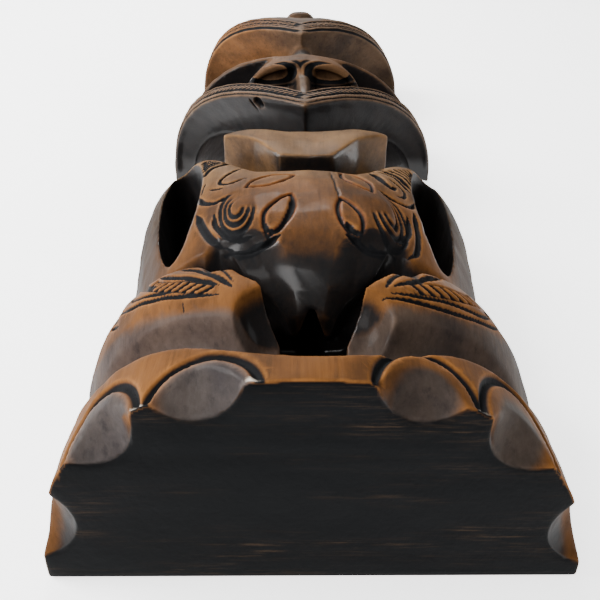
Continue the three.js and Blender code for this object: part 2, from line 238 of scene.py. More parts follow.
@dataclass(frozen=True)
class Zone:
    """A part of the skin, as limits on some of its measures, and how strongly it counts.

    The measures are the place across and along the figure and above its back, the distance from its middle
    plane (spread), the arc round the billet, how far out the point lies (reach), and how far it faces outward
    (facing), towards the feet (down) and up.
    """

    x: Limits = ()
    along: Limits = ()
    z: Limits = ()
    spread: Limits = ()
    arc: Limits = ()
    reach: Limits = ()
    facing: Limits = ()
    down: Limits = ()
    up: Limits = ()
    strength: float = 1.0

    def over(self, measures: dict[str, np.ndarray]) -> np.ndarray:
        """How strongly each point lies in the zone, from its measures."""
        given = {name: value for name, value in measures.items() if getattr(self, name)}
        parts = [inside(getattr(self, name), value) for name, value in given.items()]
        return self.strength * np.prod(parts, axis=0)


class Skin:
    """The figure's skin: where each point lies on the billet, and what the carver has done to it.

    Of its arrays, depth is how deep each point is cut, groove how black the cut has left it, shade how smoky
    its ground is, fresh how raw its wood, ash_sheen how grey (worn stain that also stands for a painted
    sheen), proud how rubbed and matte how dull. busy is 1 near a cut. notch_place and notch_strip are the
    place along a notched strip and how far inside it the point lies.
    """

    ROUND = Zone(reach=[(0.82, 0.88)], facing=[(0.25, 0.5)])
    LEAST_SHARE = 0.01
    LEAST_DEPTH = 0.02
    THIN_END = 0.25
    CUT_POWER = 0.7
    CUT_STAIN = (0, 0.3)
    RING_POWER = 0.75
    RING_STAIN = (0, 0.5)
    OVAL_MARGIN = 2.2
    STRIP_EDGE = 0.5
    STRIP_START = (-0.3, 0.7)
    STRIP_END = (0, 1.2)
    LUMP_EDGE = (0.1, 0.9)
    LUMP_SOFTNESS = 0.35
    STRIP_MARGIN = 0.75
    ASH_EDGE = (1.05, 0.8)
    ASH_REACH = (0.5, 0.8)
    TINY = 1e-6

    def __init__(self, points: np.ndarray, normals: np.ndarray, billet: Billet) -> None:
        """Args:
        points: Places in millimetres, with the feet at 0 along Y.
        normals: Outward normals.
        billet: The billet that the figure is cut from.
        """
        self.billet = billet
        self.points = points
        self.x, self.along, self.z = points.T
        self.reach = billet.reach(self.x, self.z)
        self.arc = billet.across(self.x, self.z)
        count = len(points)
        self.depth, self.groove, self.shade, self.fresh, self.busy = np.zeros((5, count))
        self.matte, self.ash_sheen, self.proud, self.notch_place, self.notch_strip = np.zeros((5, count))
        outward = np.stack([self.x / billet.width**2, np.zeros(count), self.z / billet.height**2], 1)
        outward /= np.maximum(np.linalg.norm(outward, axis=1, keepdims=True), 1e-9)
        self.measures = {
            "x": self.x,
            "along": self.along,
            "z": self.z,
            "spread": np.abs(self.x),
            "arc": np.abs(self.arc),
            "reach": self.reach,
            "facing": np.einsum("ij,ij->i", outward, normals),
            "down": -normals[:, 1],
            "up": normals[:, 2],
        }
        self.outside = self.within(self.ROUND)

    def within(self, zone: Zone) -> np.ndarray:
        """How strongly each point lies in a zone."""
        return zone.over(self.measures)

    def near(self, path: Path, side: Side, margin: float) -> tuple[np.ndarray, ...]:
        """Measures the skin against a smooth line through the path's points.

        Args:
            path: Points of (arc, along) for the right half; the left half mirrors them.
            side: The half of the figure.
            margin: How far from the line the skin is measured.

        Returns:
            The indices of the measured points, their signed distances, their places along the line in
            millimetres, and the line's length.
        """
        line = smooth_path(path)
        line[:, 0] *= side.value
        low, high = line.min(0) - margin, line.max(0) + margin
        limits = (self.arc > low[0]) & (self.arc < high[0]) & (self.along > low[1]) & (self.along < high[1])
        index = np.flatnonzero(limits & (self.outside > self.LEAST_SHARE))
        here = np.stack([self.arc[index], self.along[index]], 1)
        best = np.full(len(index), np.inf)
        signed = np.zeros(len(index))
        place = np.zeros(len(index))
        run = 0.0
        for start, end in zip(line[:-1], line[1:]):
            step = end - start
            length = float(np.hypot(*step))
            if length < self.TINY:
                continue
            share = np.clip((here - start) @ step / length**2, 0, 1)
            gap = here - start - share[:, None] * step
            distance = np.hypot(gap[:, 0], gap[:, 1])
            closer = distance < best
            turn = np.sign(step[0] * gap[:, 1] - step[1] * gap[:, 0]) * side.value
            best = np.where(closer, distance, best)
            signed = np.where(closer, distance * turn, signed)
            place = np.where(closer, run + share * length, place)
            run += length
        return index, signed, place, run

    def lower(self, index: np.ndarray, depth: np.ndarray, shade: np.ndarray) -> None:
        """Cuts the indexed points down to a depth and stains them, where that is more than before."""
        weight = self.outside[index]
        raise_at(self.busy, index, (depth * weight > self.LEAST_DEPTH).astype(float))
        raise_at(self.depth, index, depth * weight)
        raise_at(self.groove, index, shade * weight)

    def sink(self, mask: np.ndarray, depth: float, shade: float) -> None:
        """Cuts and blackens the skin where a mask over every point lies, also inside the billet's round."""
        self.busy = np.maximum(self.busy, (depth * mask > self.LEAST_DEPTH).astype(float))
        self.depth = np.maximum(self.depth, depth * mask)
        self.groove = np.maximum(self.groove, shade * mask)

    def cut(self, stroke: Cut, side: Side) -> None:
        """Cuts one stroke, tapered towards its ends."""
        index, signed, place, length = self.near(stroke.points, side, stroke.width)
        ends = np.minimum(place, length - place) / max(length * stroke.taper, self.TINY)
        taper = self.THIN_END + (1 - self.THIN_END) * np.clip(ends, 0, 1)
        profile = np.clip(1 - np.abs(signed) / (stroke.width / 2 * taper), 0, 1)
        depth = stroke.depth * taper * profile**self.CUT_POWER
        self.lower(index, depth, stroke.shade * ramp(*self.CUT_STAIN, profile))

    def notch(self, row: NotchRow, side: Side) -> None:
        """Cuts a row of notches."""
        index, signed, place, length = self.near(row.points, side, row.height)
        inward = row.height / 2 - np.abs(signed)
        strip = ramp(0, self.STRIP_EDGE, inward)
        strip *= ramp(*self.STRIP_START, place) * ramp(*self.STRIP_END, length - place)
        phase = (place + row.slant * signed) / row.pitch
        soft = self.LUMP_SOFTNESS
        lump = ramp(row.gap - soft, row.gap + soft, np.cos(2 * math.pi * phase))
        lump *= ramp(*self.LUMP_EDGE, inward)
        self.lower(index, row.depth * strip * (1 - lump), strip * (1 - lump))
        raise_at(self.proud, index, row.shine * strip * lump * self.outside[index])
        close = np.abs(signed) < self.STRIP_MARGIN * row.height
        self.notch_place[index[close]] = phase[close]
        raise_at(self.notch_strip, index, strip * self.outside[index])

    def oval(self, oval: Oval, side: Side) -> tuple[np.ndarray, np.ndarray, np.ndarray]:
        """Measures the skin against an oval.

        Args:
            oval: The oval, given for the right half.
            side: The half of the figure.

        Returns:
            The indices of the points near it, their share of the way from its middle to its outline, and
            their angle round it.
        """
        a = self.arc * side.value - oval.middle[0]
        b = self.along - oval.middle[1]
        near = np.hypot(a, b) < self.OVAL_MARGIN * max(oval.half)
        index = np.flatnonzero(near & (self.outside > self.LEAST_SHARE))
        turn = math.radians(oval.turn)
        u = a[index] * math.cos(turn) + b[index] * math.sin(turn)
        v = b[index] * math.cos(turn) - a[index] * math.sin(turn)
        a, b = np.abs(u) / oval.half[0], np.abs(v) / oval.half[1]
        if oval.leaf:
            share = a + b**2 if oval.half[1] > oval.half[0] else b + a**2
        else:
            share = np.hypot(a, b)
        return index, share, np.arctan2(v, u)

    def groove_round(self, oval: Oval, side: Side, width: float, depth: float, shade: float) -> None:
        """Cuts a groove along an oval's outline."""
        index, share, _ = self.oval(oval, side)
        distance = np.abs(share - 1) * min(oval.half)
        profile = np.clip(1 - distance / (width / 2), 0, 1)
        self.lower(index, depth * profile**self.RING_POWER, shade * ramp(*self.RING_STAIN, profile))

    def ashen(self, oval: Oval, side: Side, amount: float) -> None:
        """Greys the inside of an oval, as worn stain that also stands for a painted sheen."""
        index, share, _ = self.oval(oval, side)
        grey = amount * ramp(*self.ASH_EDGE, share) * ramp(*self.ASH_REACH, self.reach[index])
        raise_at(self.ash_sheen, index, grey)

    def freshen(self, oval: Oval, side: Side, width: float) -> None:
        """Leaves the raw reddish wood of a late cut round an oval's outline."""
        index, share, _ = self.oval(oval, side)
        ring = ramp(width, 0, np.abs(share - 1) * min(oval.half)) * self.outside[index]
        raise_at(self.fresh, index, ring)


def smooth_path(points: Path, steps: int = 5) -> np.ndarray:
    """A smooth line through a few points.

    Args:
        points: The points that it passes.
        steps: How many pieces each stretch is made of.

    Returns:
        The line's points, one row each.
    """
    knots = np.array(points, dtype=float)
    if len(knots) == 2:
        return knots
    padded = np.vstack([2 * knots[0] - knots[1], knots, 2 * knots[-1] - knots[-2]])
    line = [knots[0]]
    for i in range(1, len(padded) - 2):
        before, start, end, after = padded[i - 1 : i + 3]
        for j in range(1, steps + 1):
            t = j / steps
            line.append(
                0.5
                * (
                    2 * start
                    + (end - before) * t
                    + (2 * before - 5 * start + 4 * end - after) * t**2
                    + (3 * start - before - 3 * end + after) * t**3
                )
            )
    return np.array(line)


@dataclass(frozen=True)
class Toes:
    """The incised arcs that frame each scooped toe, and the dark middle of each scoop."""

    left: Sequence[Oval] = (
        Oval((20.8, -1.2), (10.9, 10.8)),
        Oval((43.6, -1.6), (10.4, 13.8)),
    )
    right: Sequence[Oval] = (
        Oval((20.4, 0.4), (10.1, 12.0)),
        Oval((42.4, 1.0), (10.6, 15.0)),
    )
    groove_width: float = 2.5
    groove_depth: float = 1.3
    groove_shade: float = 0.8
    left_border: Point = (0.9, 0.6)
    right_border: Point = (3.2, 4.0)
    # The scoops' grey is worn stain that also stands for a painted sheen.
    scoop_grey: float = 0.9

    def carve(self, skin: Skin) -> None:
        """Cuts the frames and greys the scoops."""
        left = (Side.LEFT, self.left, self.left_border)
        right = (Side.RIGHT, self.right, self.right_border)
        for side, ovals, border in (left, right):
            for oval in ovals:
                skin.groove_round(oval, side, self.groove_width, self.groove_depth, self.groove_shade)
                scoop = Oval(oval.middle, (oval.half[0] - border[0], oval.half[1] - border[1]))
                skin.ashen(scoop, side, self.scoop_grey)


@dataclass(frozen=True)
class Knees:
    """The fan of grooves and the notched strip on each knee, which start from its inner corner."""

    left_row: NotchRow = NotchRow(
        points=[(22, 34.2), (25, 36.3), (30, 39.9), (35, 43.5), (38, 46.6), (40.5, 50)],
        height=4.1,
        pitch=2.5,
        depth=0.7,
    )
    right_row: NotchRow = NotchRow(
        points=[(21.6, 37), (28.9, 40.2), (33.9, 42.5), (39, 45.5), (43.6, 49.4)],
        height=4.9,
        pitch=3.2,
        slant=0.6,
        depth=0.8,
    )

    def carve(self, skin: Skin) -> None:
        """Cuts both knees, which differ a little."""
        for stroke in self._left():
            skin.cut(stroke, Side.LEFT)
        for stroke in self._right():
            skin.cut(stroke, Side.RIGHT)
        skin.notch(self.left_row, Side.LEFT)
        skin.notch(self.right_row, Side.RIGHT)

    def _left(self) -> list[Cut]:
        """The left knee's strokes, from the lowest up."""
        return [
            Cut(
                [(20.2, 32.1), (25, 33.9), (30, 36.2), (40, 41), (46.3, 44.2), (50, 47.6), (52.8, 51.5)],
                width=1.7,
                depth=1.0,
            ),
            Cut([(31, 38.3), (36, 41.1), (44, 46.1), (47.5, 50.4)], 1.4, 0.8, 0.8),
            Cut([(37.6, 45.6), (41.5, 49.4), (45, 54)], 2.6, 0.9, 0.75),
            Cut([(20.2, 35.4), (25, 39.4), (30, 43.6), (35, 48), (38, 51.4)], 1.8, 1.0),
            Cut([(17.2, 33.6), (21.7, 39.9), (26.7, 45.6), (32, 50)], 1.9, 1.0),
            Cut([(17, 35.2), (19.2, 40.6), (22, 45.6)], 0.9, 0.5, 0.6),
            Cut([(48.8, 40.4), (51, 42.2), (53.4, 44.6)], 1.4, 0.7),
            Cut([(50.4, 43.6), (53, 47.6), (55.4, 52.4)], 1.7, 0.8),
            Cut([(28.6, 30.4), (28.7, 33.6)], 0.6, 0.4, 0.6),
        ]

    def _right(self) -> list[Cut]:
        """The right knee's strokes, from the lowest up."""
        return [
            Cut([(14.6, 30.3), (19.5, 31.6), (27.4, 33.4), (36, 36.2), (46.2, 41.2), (51.5, 46)], 1.6, 1.0),
            Cut([(16.6, 32.4), (23.8, 34.7), (31, 37.5), (37.5, 39.6), (43.3, 42.2), (49, 48)], 1.5, 0.9),
            Cut([(20.4, 37.2), (24.4, 41.6), (28.6, 46), (33, 50.6)], 1.9, 1.1),
            Cut([(17.3, 34.8), (21.4, 39), (25.3, 43.6), (30, 48.8)], 1.3, 0.8),
            Cut([(15.5, 33.8), (18, 39.5), (21.7, 44.6), (25.6, 49)], 1.3, 0.8),
            Cut([(46, 46.4), (50, 51.6)], 1.8, 0.8),
        ]


@dataclass(frozen=True)
class Hands:
    """Fingers as leaves, hollow teardrops and the arcs that sweep round them."""

    left_leaf: Oval = Oval((10.7, 89.6), (7.6, 3.9), -30, True)
    right_leaf: Oval = Oval((13.6, 90.8), (3.6, 8.3), 25, True)
    left_finger: Oval = Oval((8.0, 68.5), (3.3, 8.8), 21, True)
    right_finger: Oval = Oval((10.2, 66.8), (2.8, 8.4), 16, True)
    left_hollow: Oval = Oval((19.3, 73.6), (4.5, 9.9), -4)
    right_hollow: Oval = Oval((21.6, 72.4), (5.2, 10.8), 4)
    boldness: float = 1.2
    rim_width: float = 1.5
    leaf_depth: float = 1.0
    leaf_shade: float = 0.62
    leaf_raw: float = 1.2
    finger_depth: float = 0.9
    finger_shade: float = 0.6
    finger_raw: float = 1.4
    crescent_rings: Sequence[float] = (0.45, 0.78, 1.1)
    crescent_width: float = 1.3
    crescent_depth: float = 0.9
    crescent_turn: float = -0.7
    crescent_side: Point = (-0.75, 0.0)
    crescent_stain: Point = (0, 0.45)
    crescent_ground: float = 0.5
    ground_limits: Limits = ((1.25, 1.0), (0.35, 0.6))
    dull_limits: Limits = ((1.4, 1.1),)
    stripe_bow: float = 0.5

    def carve(self, skin: Skin) -> None:
        """Cuts both hands."""
        self._leaves(skin)
        for stroke in self._left_arcs():
            skin.cut(self._bold(stroke), Side.LEFT)
        for stroke in self._right_arcs():
            skin.cut(self._bold(stroke), Side.RIGHT)

    def _bold(self, stroke: Cut) -> Cut:
        """The same stroke, cut a little broader."""
        return replace(stroke, width=stroke.width * self.boldness)

    def _leaves(self, skin: Skin) -> None:
        """Cuts the leaves and the teardrops."""
        left, right = Side.LEFT, Side.RIGHT
        for oval, side in ((self.left_leaf, left), (self.right_leaf, right)):
            skin.groove_round(oval, side, self.rim_width, self.leaf_depth, self.leaf_shade)
            skin.freshen(oval, side, self.leaf_raw)
        for oval, side in ((self.left_finger, left), (self.right_finger, right)):
            skin.groove_round(oval, side, self.rim_width, self.finger_depth, self.finger_shade)
            skin.freshen(oval, side, self.finger_raw)
        for oval, side in ((self.left_hollow, left), (self.right_hollow, right)):
            self._crescent(skin, oval, side)

    def _crescent(self, skin: Skin, oval: Oval, side: Side) -> None:
        """Cuts lines inside each other along the outer half of an oval, on smoky ground."""
        index, share, angle = skin.oval(oval, side)
        outer = ramp(*self.crescent_side, np.cos(angle - self.crescent_turn))
        for ring in self.crescent_rings:
            distance = np.abs(share - ring) * min(oval.half)
            profile = np.clip(1 - distance / (self.crescent_width / 2), 0, 1) * outer
            depth = self.crescent_depth * profile**skin.RING_POWER
            skin.lower(index, depth, ramp(*self.crescent_stain, profile))
        ground = inside(self.ground_limits, share) * outer * self.crescent_ground
        raise_at(skin.shade, index, ground)
        raise_at(skin.matte, index, inside(self.dull_limits, share))

    def _left_arcs(self) -> list[Cut]:
        """The strokes on the left hand and shoulder."""
        return [
            Cut([(4.5, 75), (4.8, 70.2), (6.4, 65), (8.5, 61.8), (10.8, 62.3), (11.4, 64.6)], 1.3, 1.1),
            Cut([(26, 75.6), (25.6, 70.3), (23.8, 66), (22.3, 63.2), (19, 61), (14.6, 61.4)], 1.5, 1.0),
            Cut([(23.4, 61), (21.8, 58.8), (19.8, 56.8), (14.8, 58.6), (12.4, 59.6)], 1.5, 0.9),
            Cut([(24.6, 58.8), (17.4, 57.2), (12.8, 58.2), (7.9, 60.4)], 2.0, 1.8, 1.0),
            Cut([(31.8, 79.4), (29.4, 71.2), (26.6, 64.3), (23.6, 60.7)], 2.4, 1.0, 0.85),
            Cut([(32, 89.6), (30.8, 86), (28.3, 83), (25.4, 82), (21.6, 84)], 1.9, 1.1),
            Cut(
                [(19.6, 103.6), (22.3, 99.7), (25.3, 95.6), (25.4, 93), (23, 91.2), (19.9, 91.5)]
                + [(17.4, 92.8)],
                width=1.2,
                depth=0.9,
            ),
            Cut([(28.8, 92), (26.4, 90.2), (24, 89)], 1.0, 0.6, 0.7),
            Cut([(31.4, 90.6), (31.3, 94), (30.6, 97.4)], 0.9, 0.6, 0.7),
            Cut([(32.4, 103.6), (28.3, 108), (24.2, 110.6)], 2.9, 1.3, 1.0, 0.05),
            *self._stripes((32.8, 107.2), (26.6, 112.9), (0.45, 2.4), (1.3, 1.6), 5),
            Cut([(27.4, 121.4), (26, 115), (24.9, 109.6)], 2.6, 1.4, 1.0),
            Cut([(20.8, 116), (20.2, 110), (20.2, 103.6)], 1.4, 0.8),
        ]

    def _right_arcs(self) -> list[Cut]:
        """The strokes on the right hand and shoulder, and the old crack in the belly."""
        return [
            Cut([(6.4, 98), (6.9, 88.5), (7.1, 82), (7.6, 74.5)], 0.6, 0.5, 0.5),
            Cut([(9.2, 64.4), (10.8, 62), (13, 61.2)], 1.5, 1.4, 1.0),
            Cut([(24.8, 59.2), (16.8, 57.4), (11.4, 59.6), (9.2, 60.8)], 2.0, 1.8, 1.0),
            Cut([(15.6, 59.6), (18, 57.4), (21, 57.4), (23.4, 59.6)], 1.6, 0.9),
            Cut([(28, 79), (28.4, 73.4), (27.4, 69), (24.4, 63.6)], 1.6, 0.9),
            Cut([(30.8, 83.6), (31.2, 73), (30.2, 64), (27.6, 60.2)], 2.0, 1.0),
            Cut([(20, 87.4), (24.1, 85.2), (27.9, 85.1), (30.8, 87.2), (32.4, 91)], 1.6, 1.0),
            Cut([(24.1, 99), (27.8, 96.6), (29.2, 93.6), (28.3, 90.5), (25.8, 89)], 1.2, 0.8),
            Cut([(18.9, 101.6), (20.9, 98.2), (22.2, 95.2), (24.6, 93.3), (26.2, 94.6)], 2.7, 1.4, 1.0),
            Cut([(22.3, 104.6), (27, 101.6), (31.6, 96.4)], 1.7, 1.0),
            Cut([(23.2, 107), (28, 104), (32.4, 99.4)], 2.3, 1.2, 1.0),
            *self._stripes((33.2, 102.8), (25.8, 108.4), (0.6, 2.7), (2.0, 2.2), 5),
            Cut([(26.6, 119), (25, 112.6), (23.2, 107.4)], 1.7, 1.1),
            Cut([(20.9, 112), (20.4, 107), (20, 102.4)], 1.9, 1.0),
        ]

    def _stripes(self, low: Point, high: Point, low_step: Point, high_step: Point, count: int) -> list[Cut]:
        """Even strokes side by side on the shoulder.

        Args:
            low: The first stroke's outer end.
            high: The first stroke's inner end.
            low_step: From one stroke's outer end to the next one's.
            high_step: From one stroke's inner end to the next one's.
            count: How many strokes there are.

        Returns:
            The strokes.
        """
        strokes = []
        for i in range(count):
            start = (low[0] + i * low_step[0], low[1] + i * low_step[1])
            end = (high[0] + i * high_step[0], high[1] + i * high_step[1])
            middle = ((start[0] + end[0]) / 2 + self.stripe_bow, (start[1] + end[1]) / 2 + self.stripe_bow)
            strokes.append(Cut([start, middle, end], width=1.75, depth=1.0, shade=1.0, taper=0.08))
        return strokes


@dataclass(frozen=True)
class Belly:
    """The two polished facets beside the belly's ridge, which narrows towards its tips."""

    places: Sequence[float] = (44, 48, 56.5, 59.6, 64)
    ridge: Sequence[float] = (2.2, 3.3, 5.9, 7.8, 13)
    facet_depth: float = 1.5
    facet_width: float = 6.0
    facets: Zone = Zone(along=[(65, 60), (42, 46)], z=[(24, 30)])
    pared: Zone = Zone(spread=[(26, 22)])

    def beside(self, skin: Skin) -> np.ndarray:
        """How far each point lies beyond the ridge's edge, as a share of the facet's width."""
        edge = np.interp(skin.along, self.places, self.ridge)
        share = np.clip((np.abs(skin.x) - edge) / self.facet_width, 0, 1)
        return share * skin.within(self.facets)

    def carve(self, skin: Skin) -> None:
        """Pares the facets down beside the ridge."""
        share = self.beside(skin) * skin.within(self.pared)
        skin.depth = np.maximum(skin.depth, self.facet_depth * share)


@dataclass(frozen=True)
class Band:
    """An edge of the face that sweeps back from the middle plane, and what follows it towards the head.

    prow is the edge's place in the middle plane. Each line is a groove's offset from the edge, width, depth
    and stain. The notches lie at an offset too, on a row whose path is still empty.
    """

    prow: float
    slope: float
    curve: float
    lines: Sequence[tuple[float, float, float, float]]
    notch_offset: float
    notches: NotchRow
    end: float = 66.0
    taper: float = 0.03

    def edge(self, x: float) -> float:
        """The edge's place along the figure, at a distance from the middle plane."""
        return self.prow + self.slope * x + self.curve * x * x

    def carve(self, skin: Skin) -> None:
        """Cuts the band on both halves."""
        for side in Side:
            for offset, width, depth, shade in self.lines:
                path = skin.billet.edge_path(self.edge, side, offset, self.end)
                skin.cut(Cut(path, width, depth, shade, self.taper), side)
            path = skin.billet.edge_path(self.edge, side, self.notch_offset, self.end)
            skin.notch(replace(self.notches, points=path), side)


@dataclass(frozen=True)
class FaceBands:
    """The grooves and notched strips that follow the upper lip and the brow."""

    lip: Band = Band(
        prow=148.5,
        slope=0.75,
        curve=0.004,
        lines=[(1.9, 0.9, 0.4, 0.7), (5.8, 2.4, 1.1, 1.0), (12.7, 2.6, 1.1, 1.0)],
        notch_offset=9.2,
        notches=NotchRow([], height=4.6, pitch=2.3, slant=0.55, depth=0.35, gap=0.2, shine=1.0),
    )
    brow: Band = Band(
        prow=257.0,
        slope=0.72,
        curve=0.004,
        lines=[(3.6, 3.6, 1.2, 1.0), (8.6, 1.9, 0.9, 1.0), (12.0, 2.0, 0.9, 1.0), (20.2, 2.8, 1.1, 1.0)],
        notch_offset=15.9,
        notches=NotchRow([], height=5.8, pitch=3.0, slant=0.55, depth=0.45, gap=0.2, shine=1.0),
    )

    def carve(self, skin: Skin) -> None:
        """Cuts both bands."""
        self.lip.carve(skin)
        self.brow.carve(skin)


@dataclass(frozen=True)
class Face:
    """Knife work inside the face: the nose's rim and nostrils, the topknot's lines and the knot hole.

    The limits of the nose are measured from each boss's middle, with 1 at its outline.
    """

    left_boss: Point = (-14.0, 7.8)
    right_boss: Point = (11.6, 7.6)
    between: float = -1.0
    boss_rise: float = 101.0
    boss_half: float = 3.3
    boss_power: float = 2.5
    lean: Point = (0.274, 0.962)
    nose: Zone = Zone(along=[(211.5, 6.5, 1)], down=[(0.05, 0.25)], reach=[(0.995, 0.975)], z=[(34, 38)])
    ground: Limits = ((0.95, 1.05), (1.5, 1.4))
    rim: Limits = ((1.62, 1.72), (1.95, 1.85))
    beyond: Limits = ((1.4, 1.5),)
    bevel: Limits = ((0.84, 0.9), (1.0, 0.95))
    beyond_shine: float = 0.8
    bevel_shine: float = 0.7
    hole: Triple = (-16.4, 163.6, 47.4)
    hole_radius: float = 2.3
    hole_stretch: Sequence[float] = (1.0, 0.8, 0.8)
    raggedness: float = 0.5
    scar_offset: float = 3.2
    scar_lean: float = 0.7
    scar_edge: Point = (0.7, 0.2)
    scar_end: Point = (4.2, 3.2)
    knot_lines: Sequence[float] = (322.0, 331.0)
    knot_line_edge: Point = (1.3, 0.3)
    knot: Zone = Zone(z=[(1, 3)], spread=[(14, 12)])

    def carve(self, skin: Skin) -> None:
        """Cuts the face's details."""
        self._nose(skin)
        self._hole(skin)
        for place in self.knot_lines:
            line = ramp(*self.knot_line_edge, np.abs(skin.along - place)) * skin.within(self.knot)
            skin.sink(line, depth=0.7, shade=0.95)

    def boss(self, skin: Skin) -> tuple[np.ndarray, np.ndarray]:
        """Each point's share of the way out from a nostril's boss, and where that counts."""
        left = skin.x < self.between
        middle = np.where(left, self.left_boss[0], self.right_boss[0])
        a = (skin.x - middle) / np.where(left, self.left_boss[1], self.right_boss[1])
        rise = self.lean[0] * skin.along + self.lean[1] * skin.z
        b = (rise - self.boss_rise) / self.boss_half
        share = (np.abs(a) ** self.boss_power + np.abs(b) ** self.boss_power) ** (1 / self.boss_power)
        return share, skin.within(self.nose)

    def _nose(self, skin: Skin) -> None:
        """Sinks and blackens the ground round each nostril's boss, and draws a line inside the arch's rim."""
        share, front = self.boss(skin)
        rim = inside(self.rim, share) * front
        skin.sink(inside(self.ground, share) * front, depth=0.45, shade=0.95)
        skin.sink(rim, depth=0.3, shade=0.9)
        shine = self.beyond_shine * front * inside(self.beyond, share) * (1 - rim)
        bevel = self.bevel_shine * inside(self.bevel, share) * front
        skin.proud = np.maximum.reduce([skin.proud, shine, bevel])

    def _hole(self, skin: Skin) -> None:
        """Sinks the hole that a small knot has left in the mouth's left facet, and the scar beside it."""
        away = skin.points - np.array(self.hole)
        distance = np.linalg.norm(away * np.array(self.hole_stretch), axis=1)
        ragged = distance + self.raggedness * wander(skin.x, skin.z, 3.0, 2.0)
        skin.sink(ramp(self.hole_radius, self.hole_radius - 1.0, ragged), depth=1.6, shade=1.0)
        across = np.abs(away[:, 0] + self.scar_offset + self.scar_lean * away[:, 2])
        scar = ramp(*self.scar_edge, across) * ramp(*self.scar_end, distance)
        skin.sink(scar, depth=0.6, shade=0.9)


@dataclass(frozen=True)
class WoodTones:
    """The colours of the wood, as linear red, green and blue."""

    orange: Colour = (0.14, 0.056, 0.014)
    tan: Colour = (0.135, 0.075, 0.032)
    brown: Colour = (0.086, 0.052, 0.031)
    fresh: Colour = (0.15, 0.04, 0.009)
    # The grey of worn stain with a painted sheen: a lit, lighter copy for the left half and a shaded one for
    # the right.
    lit_ash_left: Colour = (0.064, 0.059, 0.057)
    shaded_ash_right: Colour = (0.052, 0.044, 0.038)


@dataclass(frozen=True)
class BlackParts:
    """The parts that are stained black, from the feet to the head."""

    recesses: Zone = Zone(reach=[(0.93, 0.84)], strength=0.97)
    coves: Zone = Zone(reach=[(0.985, 0.9)], along=[(58, 54)], strength=0.9)
    belly: Zone = Zone(along=[(83, 55), (38, 46)], spread=[(27, 22)], strength=0.56)
    fingers: Zone = Zone(along=[(66, 14, 8)], spread=[(18, 8, 6)], strength=0.4)
    openings: Zone = Zone(along=[(94.5, 29, 3)], facing=[(0.8, 0.55)], spread=[(37, 10.5, 2)])
    mouth: Zone = Zone(along=[(190, 46, 6), (235, 223)], down=[(0.35, 0.8)])


@dataclass(frozen=True)
class DullParts:
    """The parts whose black is dull instead of polished."""

    toes: Zone = Zone(along=[(17, 13)], strength=0.6)
    legs: Zone = Zone(along=[(48, 44), (10, 14)], strength=0.78)
    hands: Zone = Zone(along=[(69, 15, 6)], spread=[(19, 9, 4)], strength=0.75)
    sides: Zone = Zone(spread=[(38, 46)], z=[(40, 34)], facing=[(0.2, 0.5)], strength=0.75)
    shoulders: Zone = Zone(along=[(112, 20, 6)], spread=[(26, 31)], strength=0.9)


@dataclass(frozen=True)
class Knee:
    """The grey front of a knee, worn stain with a painted sheen: the line of (arc, along) above it, and how
    grey it is.
    """

    top: Path
    strength: float


